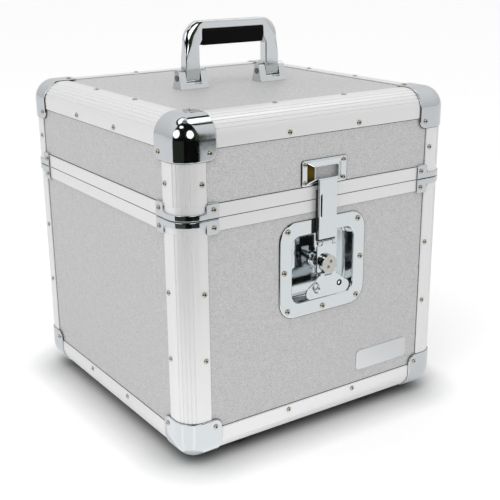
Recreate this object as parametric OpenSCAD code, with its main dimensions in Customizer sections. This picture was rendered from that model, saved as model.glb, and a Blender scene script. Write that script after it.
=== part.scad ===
// Record carrying case: panels held by rounded aluminium edge extrusions, chrome corner caps,
// a hinged lid with a tongue and groove rim, one butterfly draw latch and a folding top handle.
// +X is right, the latch faces -Y, +Z is up, and the feet stand on z = 0.

/* [Body] */
// Width over the flat faces
case_w = 350; // [310:1:420]
// Depth over the flat faces
case_d = 350; // [310:1:420]
// Height of the base, from its underside to the seam
base_h = 258.6; // [230:0.2:300]
// Height of the lid, from the seam to its top
lid_h = 100; // [90:1:140]
// Gap between the base rim and the lid rim
seam_gap = 0.6; // [0.4:0.1:1.2]

/* [Panels and lining] */
// Thickness of the laminated plywood panels
panel_t = 7; // [5:0.5:9]
// Play between a panel's end and the extrusion that holds it
panel_play = 0.2; // [0.1:0.1:0.5]
// Thickness of the foam lining sheets
lining_t = 3; // [2:0.5:6]
// Play round the edges of the lining sheets
lining_play = 0.5; // [0.2:0.1:1.5]

/* [Edge extrusions] */
// Outer radius of the rounded edges
edge_r = 22; // [18:0.5:24]
// Reach of each outer flange from the unrounded corner
edge_leg = 31.5; // [30:0.5:34]
// Thickness of the outer skin of every extrusion
skin_t = 1.6; // [1.2:0.1:2.2]
// Thickness of the inner angle and of the webs
inner_t = 1.5; // [1:0.1:2]
// Reach of each inner flange from the unrounded corner
inner_leg = 28; // [25:0.5:31]
// Number of fine grooves along the rounded edge
groove_n = 5; // [3:1:5]
// Radius of a fine groove
groove_r = 0.5; // [0.3:0.1:0.7]
// Angle between neighbouring grooves, in degrees
groove_pitch = 11.25; // [8:0.25:13]
// Gap between the end of a horizontal extrusion and the column's flange beside it
edge_stop = 1.5; // [0.5:0.5:6.5]

/* [Corner caps and braces] */
// Reach of a corner cap from the unrounded corner
cap_reach = 43; // [40:0.5:50]
// Thickness of a corner cap
cap_t = 1.4; // [1:0.1:2]
// Radius of a corner cap's free corner
cap_corner_r = 9; // [5:0.5:14]
// Reach of a seam brace's tabs from the unrounded corner
brace_reach = 44; // [40:0.5:52]
// Width of a seam brace's tab
brace_tab_w = 15.5; // [12:0.5:18]
// Height of a seam brace's tab from the seam
brace_tab_h = 16; // [15:0.5:22]
// Height of a seam brace's band round the corner
brace_band_h = 6.6; // [5:0.2:9]
// Thickness of a seam brace
brace_t = 1.4; // [1:0.1:2]
// Radius of the rounded corners of a seam brace's tab
brace_r = 3.5; // [2:0.5:5]

/* [Seam rims] */
// Height of the base rim's flanges
base_rim_h = 13.1; // [10:0.1:18]
// Height of the lid rim's flanges
lid_rim_h = 13.7; // [11:0.1:18]
// Width of the tongue on the base rim
tongue_w = 2; // [1.5:0.1:2.4]
// Height of the tongue on the base rim
tongue_h = 2; // [1.2:0.1:2.4]
// Play round the tongue in the groove
tongue_play = 0.5; // [0.4:0.1:0.7]
// Gap between the mitred ends of two rim bars
mitre_gap = 0.1; // [0.05:0.05:0.4]

/* [Rivets] */
// Diameter of a rivet head
rivet_d = 6; // [4:0.5:8]
// Height of a rivet head
rivet_h = 1.4; // [0.8:0.1:1.8]
// Distance of an extrusion rivet from the flange's edge
rivet_in = 5.5; // [3.5:0.5:6.5]
// Distance of the flange rivets on each side of the middle
rivet_mid = 45; // [30:1:70]
// Height of the lower base column rivets above the underside
rivet_low = 111; // [90:1:130]
// Height of the upper base column rivets above the underside
rivet_high = 182.5; // [150:0.5:200]
// Height of the lid column rivets above the seam
rivet_lid = 35.4; // [30:0.2:44]
// Distance of a cap rivet from the cap's free edges
rivet_cap = 8; // [6:0.5:10]
// Distance of a brace rivet from the brace's end
rivet_brace = 6; // [4:0.5:8]
// Height of a brace rivet from the seam
rivet_brace_z = 9.2; // [8:0.2:11]

/* [Feet] */
// Height of a rubber foot
foot_h = 8; // [5:0.5:14]
// Diameter of a rubber foot
foot_d = 34; // [26:1:40]
// Radius of the rounding at a foot's lower edge
foot_r = 2; // [1:0.5:4]
// Distance of the feet from the middle, sideways
foot_x = 92; // [60:1:110]
// Distance of the feet from the front or back face
foot_in = 38; // [36:1:80]
// Diameter of the screw recess in a foot
foot_recess_d = 11; // [9.5:0.5:14]
// Diameter of a foot's screw head
foot_screw_d = 8; // [6:0.5:9]
// Height of a foot's screw head
foot_screw_h = 2.2; // [1.5:0.1:3]

/* [Latch dish] */
// Width of the latch dish over its flange
dish_w = 115; // [105:1:130]
// Height of the latch dish over its flange
dish_h = 106; // [100:1:116]
// Corner radius of the flange
dish_r = 20; // [12:1:26]
// Distance of the dish's middle below the seam
dish_z = 74.2; // [68:0.2:90]
// Thickness of the pressed steel
dish_t = 1.5; // [1:0.1:1.6]
// Width of the recess
recess_w = 82; // [70:1:88]
// Height of the recess
recess_h = 73.6; // [66:0.2:80]
// Corner radius of the recess
recess_r = 10; // [6:0.5:14]
// Depth of the recess below the flange's face
recess_deep = 14; // [11:0.5:16]
// Play between the recess and its hole in the panel
recess_play = 1; // [0.5:0.1:2]
// Wall of the boss round the spindle, on the recess's floor
boss_wall = 4.5; // [2:0.5:6]
// Height of the boss round the spindle
boss_h = 7; // [4:0.5:8]
// Bevel of the dish's edges
dish_bevel = 0.8; // [0.4:0.1:0.9]
// Diameter of the dish's rivet heads
dish_rivet_d = 7; // [5:0.5:8]
// Distance of the corner rivets from the middle, sideways
dish_rivet_x = 47; // [44:0.5:48]
// Distance of the side rivets from the middle
dish_rivet_side = 51.5; // [48:0.5:53]
// Distance of the corner rivets from the middle, in height
dish_rivet_z = 44; // [41:0.5:45]
// Distance of the bottom rivet from the middle
dish_rivet_low = 47; // [43:0.5:48]

/* [Latch mechanism] */
// Height of the spindle above the dish's middle
spindle_z = 3.6; // [0:0.2:6]
// Radius of the spindle's shaft
spindle_r = 4; // [3:0.25:5]
// Running clearance round every pin and shaft
run_gap = 0.05; // [0.02:0.01:0.1]
// How far the spindle's collar behind the dish stands out round the shaft
collar_step = 1.5; // [1:0.1:3]
// Thickness of the spindle's collar
collar_t = 1.5; // [1:0.1:3]
// Play between the spindle's collar and the dish's back
collar_play = 0.1; // [0.05:0.05:0.3]
// Radius of the spindle's head
knob_r = 8.5; // [7:0.25:9]
// How far the spindle's head stands out from the case's face
latch_front = 11; // [10.4:0.1:14]
// Thickness of the spindle's head
knob_t = 4.4; // [3:0.1:4.4]
// Radius of the two spanner holes in the head
knob_hole_r = 1.3; // [0.8:0.1:1.6]
// Distance of the spanner holes from the head's middle
knob_hole_x = 3.2; // [2.8:0.1:4]
// Slant of the line through the spanner holes, in degrees
knob_hole_turn = 60; // [0:5:90]
// Thickness of the wing's plate
wing_t = 1.6; // [1.2:0.1:1.8]
// How far the wing's back stands out from the case's face
wing_back = 6.8; // [6.8:0.1:7]
// Length of the wing below its hinge
wing_len = 26.5; // [22:0.5:30]
// Width of the wing at its free end
wing_w = 58; // [48:1:60]
// Width of the wing at its hinge
wing_neck_w = 21; // [20:0.5:24]
// Corner radius of the wing's free end
wing_r = 7; // [4:0.5:8]
// Distance of the wing's hinge below the spindle
wing_drop = 10.8; // [10.6:0.1:12]
// Radius of the wing's hinge knuckles
wing_knuckle_r = 1.5; // [1.3:0.1:1.6]
// Radius of the wing's hinge pin
wing_pin_r = 0.7; // [0.5:0.1:0.9]
// Width of the head's knuckle between the wing's two knuckles
wing_tab_w = 9; // [6:0.5:11]
// Gap between the head's knuckle and the wing's plate below it
wing_notch_gap = 0.6; // [0.3:0.1:1]
// Distance of the wing's holes from the middle
wing_hole_x = 15.6; // [12:0.2:17]
// Height of the wing's holes above its free end
wing_hole_z = 11.5; // [9:0.5:13]
// Radius of the wing's holes
wing_hole_r = 2.1; // [1.5:0.1:2.6]
// Mean radius of the padlock eye
eye_r = 3; // [2.5:0.1:3.4]
// Radius of the padlock eye's wire
eye_wire_r = 0.9; // [0.6:0.1:1.1]
// Width of the link between spindle and draw bar
link_w = 26; // [22:0.5:30]
// Thickness of the link
link_t = 1.8; // [1.2:0.1:2]
// How far the link's back stands out from the case's face
link_back = 4; // [3.8:0.1:4.2]
// Distance of the link's lower end below the spindle
link_low = 15; // [13:0.5:18]
// Upward travel of the link
lift = 7; // [5:0.5:8]
// Height of the draw bar's pivot above the spindle
bar_pivot_up = 23; // [21:0.5:26]
// Width of the draw bar
bar_w = 24; // [20:0.5:27]
// Thickness of the draw bar's plate
bar_t = 2; // [1.4:0.1:2]
// How far the draw bar's face stands out from the case's face
bar_front = 6.6; // [6.4:0.1:6.6]
// Radius of the draw bar's knuckles
bar_knuckle_r = 2; // [1.8:0.1:2.1]
// Radius of the draw bar's pin
bar_pin_r = 0.9; // [0.7:0.1:1.1]
// Width of the link's knuckle between the draw bar's knuckles
bar_tab_w = 13; // [9:0.5:15]
// Gap between neighbouring knuckles
knuckle_gap = 0.3; // [0.2:0.1:0.6]
// Gap between the link's shoulders and the draw bar's knuckles
shoulder_gap = 0.9; // [0.5:0.1:1.5]
// Height of the draw bar's top above the seam
bar_top = 22.6; // [21:0.2:25]
// Thickness of the draw bar's side flanges
bar_side_t = 1.4; // [1:0.1:2]
// How far the side flanges' backs stand out from the case's face
bar_side_back = 2.2; // [2:0.1:3]
// Gap between the side flanges' upper ends and the keeper's plate
bar_side_gap = 3; // [2.6:0.1:5]
// Height of the raised rib's lower end above the draw bar's pivot
bar_rib_up = 29.1; // [24:0.1:36]
// Length of the raised rib on the draw bar
bar_rib_l = 24; // [16:1:30]
// Width of the raised rib on the draw bar
bar_rib_w = 1.6; // [1:0.1:2]
// Height of the raised rib above the draw bar's face
bar_rib_h = 0.25; // [0.15:0.05:0.5]

/* [Keeper] */
// Width of the keeper's plate
keeper_w = 60; // [56:1:66]
// Height of the keeper's plate
keeper_h = 27.6; // [26:0.2:34]
// Gap between the lid rim and the keeper
keeper_gap = 0.4; // [0.2:0.1:2]
// How far the raised keeper stands out from the case's face
keeper_front = 3.8; // [3:0.1:3.8]
// Width of the keeper's raised part where it leaves the plate
keeper_foot_w = 45; // [40:0.5:46]
// Height of the keeper's raised part where it leaves the plate
keeper_foot_h = 23; // [22:0.2:25]
// Width of the keeper's slot
slot_w = 30; // [28:0.5:32]
// Height of the keeper's slot
slot_h = 12.4; // [10:0.2:14]
// Thickness of metal left round the slot
slot_wall = 1; // [0.6:0.1:1.4]
// Distance of the keeper's rivets from the middle, sideways
keeper_rivet_x = 25.6; // [25.2:0.1:26.4]
// Distance of the keeper's rivets from the middle, in height
keeper_rivet_z = 9.6; // [8:0.1:10]
// Diameter of the keeper's rivet heads
keeper_rivet_d = 5; // [4:0.2:5.6]

/* [Hinges] */
// Distance of each hinge's middle from the unrounded corner
hinge_x = 87; // [80:1:110]
// Width of a hinge
hinge_w = 64; // [50:1:70]
// Height of a hinge leaf from the seam
leaf_h = 33; // [30:0.5:40]
// Thickness of a hinge leaf
leaf_t = 1.8; // [1.7:0.1:2.2]
// Radius of the hinge knuckles
hinge_knuckle_r = 4; // [3.5:0.1:4.5]
// How far the hinges' axis stands out from the back face
hinge_out = 7; // [6:0.1:9]
// Radius of the hinge pins
hinge_pin_r = 1.9; // [1.5:0.1:2.2]
// Height of a hinge pin's head
hinge_pin_head_h = 1.2; // [0.8:0.1:2]
// How far a hinge pin's head stands out round the pin
hinge_pin_head_step = 1; // [0.5:0.1:1.5]
// Width of the lid's knuckle in the middle of a hinge
hinge_mid_w = 26; // [18:1:32]
// Distance of a leaf's rivets from the seam
hinge_rivet_z = 24.5; // [22:0.5:26]
// Distance between a leaf's rivets
hinge_rivet_pitch = 22; // [15:0.5:24]

/* [Handle] */
// Distance of each handle leg from the middle
handle_x = 54; // [48:0.5:60]
// Width of a handle leg
handle_leg_w = 18; // [14:0.5:20]
// Depth of the handle, front to back
handle_t = 12; // [10:0.5:14]
// Height of the handle's top above the lid's top
handle_top = 72; // [66:0.5:80]
// Height of the handle's top bar
handle_bar_h = 9; // [8:0.5:12]
// Outer radius of the handle's upper corners
handle_r = 22; // [16:0.5:26]
// Rounding of the handle's long edges
handle_edge = 2.4; // [1:0.2:3]
// Height of the handle's pivot above the top panel
pivot_h = 12; // [11.5:0.5:14]
// Radius of the handle's pins
handle_pin_r = 2.5; // [2:0.1:3]
// Width of the space for the grip
grip_w = 82; // [74:1:86]
// Height of the slanted ends of the frame beside the grip
haunch_h = 6; // [3:0.5:9]
// Gap between the grip and the frame round it
grip_fit = 0.05; // [0.02:0.01:0.1]
// Height of the grip
grip_h = 18; // [14:0.5:22]
// Depth of the grip
grip_t = 14; // [12:0.5:16]
// Rounding of the grip's lower edges
grip_r = 3; // [1:0.5:5]

/* [Handle brackets] */
// Width of a handle bracket
bracket_w = 36; // [32:0.5:42]
// Depth of a handle bracket at its foot
bracket_d = 20; // [18:0.5:26]
// Depth of a handle bracket's cheek at its top
bracket_top_d = 11; // [10:0.5:14]
// Height of a handle bracket above the top panel
bracket_h = 21.3; // [20:0.1:24]
// Play on each side of a handle leg in its bracket
bracket_play = 0.6; // [0.3:0.1:1]
// Play under the round end of a handle leg
bracket_floor_play = 1; // [0.6:0.1:2]
// Diameter of the pin heads on the bracket's cheeks
handle_pin_head_d = 7; // [6:0.5:8]
// Height of the pin heads on the bracket's cheeks
handle_pin_head_h = 0.8; // [0.4:0.1:1.5]

/* [Plain plate] */
// Width of the plain plate on the front
plate_w = 76; // [50:1:90]
// Height of the plain plate
plate_h = 24; // [16:1:34]
// Thickness of the plain plate
plate_t = 0.8; // [0.5:0.1:1.2]
// Corner radius of the plain plate
plate_r = 5; // [3:0.5:8]
// Distance of the plain plate's middle from the right face
plate_x = 86; // [82:1:110]
// Height of the plain plate's middle above the underside
plate_z = 58; // [50:1:70]

/* [Hidden] */
$fn = 64;
cut = 1;                                       // how far a cutting shape runs past what it cuts

half_w = case_w / 2;
half_d = case_d / 2;
z_under = foot_h;                              // underside of the base
z_seam = z_under + base_h;                     // middle of the seam
z_top = z_seam + lid_h;                        // top faces of the lid's extrusions
z_base_rim = z_seam - seam_gap / 2;            // top of the base rim
z_lid_rim = z_seam + seam_gap / 2;             // underside of the lid rim
panel_in = skin_t + panel_t;                   // inner face of the panels, from the case's face
angle_in = panel_in + inner_t;                 // inner face of the inner angles
bar_end = edge_leg + edge_stop;                // end of a horizontal extrusion, from the unrounded corner
rivet_at = edge_leg - rivet_in;                // extrusion rivets, from the unrounded corner
web_lid = tongue_h + tongue_play + skin_t;     // thickness of the lid rim's web, which holds the groove
tongue_at = skin_t + panel_t / 2;              // middle of the tongue, from the case's face
recess_back = recess_deep + dish_t;            // back of the dish, from its flange's face
dish_face = dish_t - skin_t;                   // face of the dish's flange, from the case's face
z_dish = z_seam - dish_z;
z_spindle = z_dish + spindle_z;
z_wing = z_spindle - wing_drop;                // axis of the wing's hinge
wing_axis = wing_back + wing_t / 2;            // the same axis, out from the case's face
z_bar = z_spindle + bar_pivot_up;              // axis of the draw bar's pin
bar_axis = bar_front - bar_knuckle_r;          // the same axis, out from the case's face
z_bar_top = z_seam + bar_top;
z_keeper_low = z_lid_rim + lid_rim_h + keeper_gap;
z_keeper = z_keeper_low + keeper_h / 2;
z_lid_panel = z_top - skin_t;                  // top of the top panel
z_pivot = z_lid_panel + pivot_h;               // axis of the handle's pins
z_handle_top = z_top + handle_top;
z_grip_top = z_handle_top - handle_bar_h;
z_grip = z_grip_top - grip_h;
leg_out = handle_x + handle_leg_w / 2;         // outer side of a handle leg
leg_in = handle_x - handle_leg_w / 2;          // inner side of a handle leg
bracket_slot = handle_leg_w + 2 * bracket_play;
brace_tab_at = brace_reach - brace_tab_w;      // where a brace's tab starts

SIDES = ["front", "right", "back", "left"];

PANEL = "#c4c4c4";
ALLOY = "#dcdcda";
CHROME = "#c8ced0";
STEEL = "#a9a49a";
FOAM = "#2b2b2d";
RUBBER = "#161616";

// ---- shapes and places that repeat ----

// Flat rectangle about the origin with rounded corners
module round_rect(w, h, r) {
    square([w - 2 * r, h], center = true);
    square([w, h - 2 * r], center = true);
    for (x = [-1, 1], y = [-1, 1])
        translate([x * (w / 2 - r), y * (h / 2 - r)]) circle(r);
}

// Half of the width of a side: 0 front, 1 right, 2 back, 3 left
function half_of(side) = side % 2 == 0 ? half_w : half_d;

// Distance of a side's face from the middle of the case
function reach_of(side) = side % 2 == 0 ? half_d : half_w;

// Stands the children on a side's face: x runs along it, y is up, z points out of the case
module on_side(side) {
    rotate([0, 0, 90 * side]) translate([0, -reach_of(side), 0]) rotate([90, 0, 0]) children();
}

// Carries a front left piece to the corner on the side of x and y
module at_corner(x, y) {
    mirror([x > 0 ? 1 : 0, 0, 0]) mirror([0, y > 0 ? 1 : 0, 0])
        translate([-half_w, -half_d, 0]) children();
}

// Turns a piece drawn upwards from z = 0 so that it hangs down from the lid's top
module from_lid_top() {
    translate([0, 0, z_top]) mirror([0, 0, 1]) children();
}

// Domed rivet head that stands on z = 0
module rivet(d = rivet_d, h = rivet_h) {
    ball_r = (d * d / 4 + h * h) / (2 * h);
    intersection() {
        translate([0, 0, h - ball_r]) sphere(ball_r);
        cylinder(r = d, h = h);
    }
}

// ---- edge extrusions ----

// Section of an edge extrusion, with the unrounded corner at the origin
module edge_section() {
    difference() {
        union() {
            intersection() {
                translate([edge_r, edge_r]) circle(edge_r);
                square(edge_r);
            }
            translate([edge_r, 0]) square([edge_leg - edge_r, skin_t]);
            translate([0, edge_r]) square([skin_t, edge_leg - edge_r]);
        }
        translate([edge_r, edge_r]) circle(edge_r - skin_t);
        for (i = [0 : groove_n - 1]) {
            a = 45 + (i - (groove_n - 1) / 2) * groove_pitch;
            translate([edge_r - edge_r * cos(a), edge_r - edge_r * sin(a)]) circle(groove_r);
        }
    }
    // webs between the outer skin and the inner angle, which are the bottoms of the panels' slots
    translate([edge_r - inner_t, skin_t / 2]) square([inner_t, panel_in]);
    translate([skin_t / 2, edge_r - inner_t]) square([panel_in, inner_t]);
    translate([panel_in, panel_in]) square([inner_leg - panel_in, inner_t]);
    translate([panel_in, panel_in]) square([inner_t, inner_leg - panel_in]);
}

// Upright extrusion at a corner, between two heights
module column(x, y, low, high) {
    color(ALLOY) at_corner(x, y) translate([0, 0, low]) linear_extrude(high - low) edge_section();
}

module base_column(x, y) { column(x, y, z_under + bar_end, z_base_rim - base_rim_h); }

module lid_column(x, y) { column(x, y, z_lid_rim + lid_rim_h, z_top - bar_end); }

// Horizontal extrusion along the foot of a side, its lower corner at z = 0
module edge_bar(side) {
    color(ALLOY) rotate([0, 0, 90 * side]) translate([0, -reach_of(side), 0]) rotate([90, 0, 90])
        linear_extrude(2 * (half_of(side) - bar_end), center = true) edge_section();
}

module base_edge(side) { translate([0, 0, z_under]) edge_bar(side); }

module lid_edge(side) { from_lid_top() edge_bar(side); }

// ---- corner caps ----

// Block whose outer corner is rounded, its faces standing out by t from the extrusions' faces
module ball_corner(t, far) {
    r = edge_r + t;
    translate([edge_r, edge_r, edge_r]) {
        sphere(r);
        cylinder(r = r, h = far);
        rotate([0, 90, 0]) cylinder(r = r, h = far);
        rotate([-90, 0, 0]) cylinder(r = r, h = far);
        translate([-r, 0, 0]) cube([r + far, far, far]);
        translate([0, -r, 0]) cube([far, r + far, far]);
        translate([0, 0, -r]) cube([far, far, r + far]);
    }
}

// Flat outline that trims a cap, rounded at its free corner
module cap_outline() {
    side = cap_reach + 2 * cap_t;
    translate([-2 * cap_t, -2 * cap_t]) {
        square([side, side - cap_corner_r]);
        square([side - cap_corner_r, side]);
        translate([side - cap_corner_r, side - cap_corner_r]) circle(cap_corner_r);
    }
}

// Pressed cap with its unrounded corner at the origin
module corner_cap() {
    far = 2 * cap_reach;
    intersection() {
        difference() {
            ball_corner(cap_t, cap_reach);
            ball_corner(0, far);
        }
        translate([0, 0, -2 * cap_t]) linear_extrude(far) cap_outline();
        translate([0, far, 0]) rotate([90, 0, 0]) linear_extrude(far + 2 * cap_t) cap_outline();
        translate([-2 * cap_t, 0, 0]) rotate([90, 0, 90]) linear_extrude(far) cap_outline();
    }
}

module base_corner(x, y) { color(CHROME) at_corner(x, y) translate([0, 0, z_under]) corner_cap(); }

module lid_corners(y) {
    color(CHROME) for (x = [-1, 1]) from_lid_top() at_corner(x, y) corner_cap();
}

// ---- panels and lining ----

// Upright panel of a side between two heights
module side_panel(side, low, high) {
    half = half_of(side) - edge_r - panel_play;
    on_side(side) translate([-half, low, -panel_in]) cube([2 * half, high - low, panel_t]);
}

// Hole for the dish's recess, through whatever lies behind the front face
module recess_hole() {
    wall = dish_t + recess_play;
    through = panel_in + lining_t + cut;
    on_side(0) translate([0, z_dish, -through]) linear_extrude(through + cut)
        round_rect(recess_w + 2 * wall, recess_h + 2 * wall, recess_r + wall);
}

module base_panel(side) {
    color(PANEL) difference() {
        side_panel(side, z_under + edge_r + panel_play, z_base_rim - skin_t - panel_play);
        if (side == 0) recess_hole();
    }
}

module lid_panel(side) {
    color(PANEL) side_panel(side, z_lid_rim + web_lid + panel_play, z_top - edge_r - panel_play);
}

// Level panel whose lower face is at z = 0
module level_panel() {
    w = case_w - 2 * (edge_r + panel_play);
    d = case_d - 2 * (edge_r + panel_play);
    translate([-w / 2, -d / 2, 0]) cube([w, d, panel_t]);
}

module base_floor() { color(PANEL) translate([0, 0, z_under + skin_t]) level_panel(); }

module lid_top() { color(PANEL) translate([0, 0, z_lid_panel - panel_t]) level_panel(); }

// Foam sheet on the inner face of a side panel
module side_lining(side, low, high) {
    half = half_of(side) - inner_leg - lining_play;
    on_side(side) translate([-half, low, -panel_in - lining_t]) cube([2 * half, high - low, lining_t]);
}

// Foam sheet on the inner face of a level panel
module level_lining() {
    w = case_w - 2 * (inner_leg + lining_play);
    d = case_d - 2 * (inner_leg + lining_play);
    translate([-w / 2, -d / 2, 0]) cube([w, d, lining_t]);
}

module base_lining() {
    color(FOAM) {
        difference() {
            for (side = [0 : 3])
                side_lining(side, z_under + inner_leg + lining_play, z_base_rim - base_rim_h - lining_play);
            recess_hole();
        }
        translate([0, 0, z_under + panel_in]) level_lining();
    }
}

module lid_lining() {
    color(FOAM) {
        for (side = [0 : 3])
            side_lining(side, z_lid_rim + lid_rim_h + lining_play, z_top - inner_leg - lining_play);
        translate([0, 0, z_top - panel_in - lining_t]) level_lining();
    }
}

// ---- seam rims ----

// Flat ring between two distances in from the case's faces
module rim_ring(from, to) {
    difference() {
        round_rect(case_w - 2 * from, case_d - 2 * from, edge_r - from);
        round_rect(case_w - 2 * to, case_d - 2 * to, edge_r - to);
    }
}

// Two flanges that hold the panels, joined by a web; it starts at z = 0 and grows upwards
module rim_channel(h, web) {
    linear_extrude(h) rim_ring(0, skin_t);
    linear_extrude(h) rim_ring(panel_in, angle_in);
    linear_extrude(web) rim_ring(0, angle_in);
}

// Flat region that holds one side's bar of a rim, cut at 45 degrees at its ends
module mitre_region(side) {
    half = half_of(side);
    near = reach_of(side);
    long = half + cut - mitre_gap;
    short = half - edge_leg - mitre_gap;
    rotate([0, 0, 90 * side]) polygon([
        [-long, -near - cut], [long, -near - cut],
        [short, -near + edge_leg], [-short, -near + edge_leg]
    ]);
}

// Four mitred bars out of the children's ring
module mitred() {
    for (side = [0 : 3]) intersection() {
        children();
        translate([0, 0, -tongue_h - cut]) linear_extrude(base_rim_h + lid_rim_h) mitre_region(side);
    }
}

module base_rim() {
    color(ALLOY) translate([0, 0, z_base_rim]) mirror([0, 0, 1]) mitred() union() {
        rim_channel(base_rim_h, skin_t);
        translate([0, 0, -tongue_h]) linear_extrude(tongue_h + skin_t / 2)
            rim_ring(tongue_at - tongue_w / 2, tongue_at + tongue_w / 2);
    }
}

module lid_rim() {
    slot = tongue_w / 2 + tongue_play;
    color(ALLOY) translate([0, 0, z_lid_rim]) mitred() difference() {
        rim_channel(lid_rim_h, web_lid);
        translate([0, 0, -cut]) linear_extrude(tongue_h + tongue_play + cut)
            rim_ring(tongue_at - slot, tongue_at + slot);
    }
}

// ---- seam braces ----

// Face of a brace, from the end of the rounded corner outwards, upwards from the seam
module brace_face() {
    translate([edge_r, 0]) square([brace_reach - edge_r, brace_band_h]);
    translate([brace_tab_at, 0]) square([brace_tab_w, brace_tab_h - brace_r]);
    translate([brace_tab_at + brace_r, 0]) square([brace_tab_w - 2 * brace_r, brace_tab_h]);
    for (x = [brace_tab_at + brace_r, brace_reach - brace_r])
        translate([x, brace_tab_h - brace_r]) circle(brace_r);
    translate([brace_tab_at - brace_r, brace_band_h]) difference() {
        square(brace_r);
        translate([0, brace_r]) circle(brace_r);
    }
}

// Brace round an upright edge, growing upwards from z = 0, its unrounded corner at the origin
module brace() {
    linear_extrude(brace_band_h) intersection() {
        difference() {
            translate([edge_r, edge_r]) circle(edge_r + brace_t);
            translate([edge_r, edge_r]) circle(edge_r);
        }
        translate([-brace_t, -brace_t]) square(edge_r + brace_t);
    }
    rotate([90, 0, 0]) linear_extrude(brace_t) brace_face();
    mirror([1, -1, 0]) rotate([90, 0, 0]) linear_extrude(brace_t) brace_face();
}

module lid_braces() {
    color(CHROME) for (x = [-1, 1], y = [-1, 1])
        at_corner(x, y) translate([0, 0, z_lid_rim]) brace();
}

module base_braces() {
    color(CHROME) for (x = [-1, 1], y = [-1, 1])
        at_corner(x, y) translate([0, 0, z_base_rim]) mirror([0, 0, 1]) brace();
}

// ---- rivets ----

// Rivets of one corner cap, on its three faces, about the unrounded corner
module cap_rivets() {
    at = cap_reach - rivet_cap;
    for (turn = [[0, 0, 0], [90, 0, 90], [0, -90, -90]])
        rotate(turn) translate([at, at, -cap_t]) mirror([0, 0, 1]) rivet();
}

// The same rivet at the same place on both sides of a side's middle
module pair_on_side(side, x, z, out) {
    for (s = [-1, 1]) on_side(side) translate([s * x, z, out]) children();
}

module base_rivets() {
    color(STEEL) {
        for (side = [0 : 3]) {
            edge = half_of(side);
            for (z = [rivet_low, rivet_high]) pair_on_side(side, edge - rivet_at, z_under + z, 0) rivet();
            pair_on_side(side, rivet_mid, z_under + rivet_at, 0) rivet();
            pair_on_side(side, edge - brace_reach + rivet_brace, z_seam - rivet_brace_z, brace_t)
                rivet();
            rotate([0, 0, 90 * side]) for (s = [-1, 1])
                translate([s * rivet_mid, rivet_at - reach_of(side), z_under]) mirror([0, 0, 1]) rivet();
        }
        for (x = [-1, 1], y = [-1, 1]) at_corner(x, y) translate([0, 0, z_under]) cap_rivets();
        dish_rivets();
        hinge_rivets(-1);
    }
}

module lid_rivets() {
    color(STEEL) {
        for (side = [0 : 3]) {
            edge = half_of(side);
            pair_on_side(side, edge - rivet_at, z_seam + rivet_lid, 0) rivet();
            pair_on_side(side, rivet_mid, z_top - rivet_at, 0) rivet();
            pair_on_side(side, edge - brace_reach + rivet_brace, z_seam + rivet_brace_z, brace_t)
                rivet();
            rotate([0, 0, 90 * side]) for (s = [-1, 1])
                translate([s * rivet_mid, rivet_at - reach_of(side), z_top]) rivet();
        }
        from_lid_top() for (x = [-1, 1], y = [-1, 1]) at_corner(x, y) cap_rivets();
        keeper_rivets();
        hinge_rivets(1);
    }
}

// ---- feet ----

module at_feet() {
    for (x = [-1, 1], y = [-1, 1]) translate([x * foot_x, y * (half_d - foot_in), 0]) children();
}

// Feet that stand against the flange of the bottom extrusion and reach the floor panel beside it
module feet() {
    mid = foot_h / 2;
    inside = 2 * (edge_leg + panel_play);
    color(RUBBER) {
        at_feet() difference() {
            union() {
                translate([0, 0, foot_r]) cylinder(d = foot_d, h = foot_h - foot_r);
                cylinder(d = foot_d - 2 * foot_r, h = foot_r);
                translate([0, 0, foot_r]) rotate_extrude() translate([foot_d / 2 - foot_r, 0]) circle(foot_r);
            }
            translate([0, 0, -cut]) cylinder(d = foot_recess_d, h = mid + cut);
        }
        intersection() {
            at_feet() translate([0, 0, mid]) cylinder(d = foot_d, h = mid + skin_t);
            translate([inside / 2 - half_w, inside / 2 - half_d, mid])
                cube([case_w - inside, case_d - inside, mid + skin_t]);
        }
    }
}

module foot_screws() {
    color(STEEL) at_feet() translate([0, 0, foot_h / 2]) mirror([0, 0, 1])
        rivet(foot_screw_d, foot_screw_h);
}

// ---- latch dish ----

// Runs the children, a flat section with x out from the outline, round a rounded rectangle
module around(w, h, r) {
    for (x = [0, 1], y = [0, 1]) mirror([x, 0, 0]) mirror([0, y, 0]) {
        translate([w / 2 - r, h / 2 - r, 0]) rotate_extrude(angle = 90) translate([r, 0]) children();
        translate([w / 2, h / 2 - r, 0]) rotate([90, 0, 0]) linear_extrude(h / 2 - r) children();
        translate([0, h / 2, 0]) rotate([90, 0, 90]) linear_extrude(w / 2 - r) children();
    }
}

// Section that bevels an edge at z = 0; side is 1 for a hole's edge and -1 for an outer edge
module bevel(side) {
    polygon([
        [-side * cut, -dish_bevel - cut], [side * (dish_bevel + cut), cut], [-side * cut, cut]
    ]);
}

module latch_dish() {
    color(CHROME) on_side(0) translate([0, z_dish, dish_face]) difference() {
        union() {
            translate([0, 0, -dish_t]) linear_extrude(dish_t) round_rect(dish_w, dish_h, dish_r);
            translate([0, 0, -recess_back]) linear_extrude(recess_back)
                round_rect(recess_w + 2 * dish_t, recess_h + 2 * dish_t, recess_r + dish_t);
        }
        difference() {
            translate([0, 0, -recess_deep]) linear_extrude(recess_deep + cut)
                round_rect(recess_w, recess_h, recess_r);
            translate([0, spindle_z, -recess_deep - cut])
                cylinder(r = spindle_r + boss_wall, h = boss_h + cut);
        }
        translate([0, spindle_z, -recess_back - cut])
            cylinder(r = spindle_r + run_gap, h = recess_back + 2 * cut);
        around(recess_w, recess_h, recess_r) bevel(1);
        around(dish_w, dish_h, dish_r) bevel(-1);
    }
}

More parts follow.
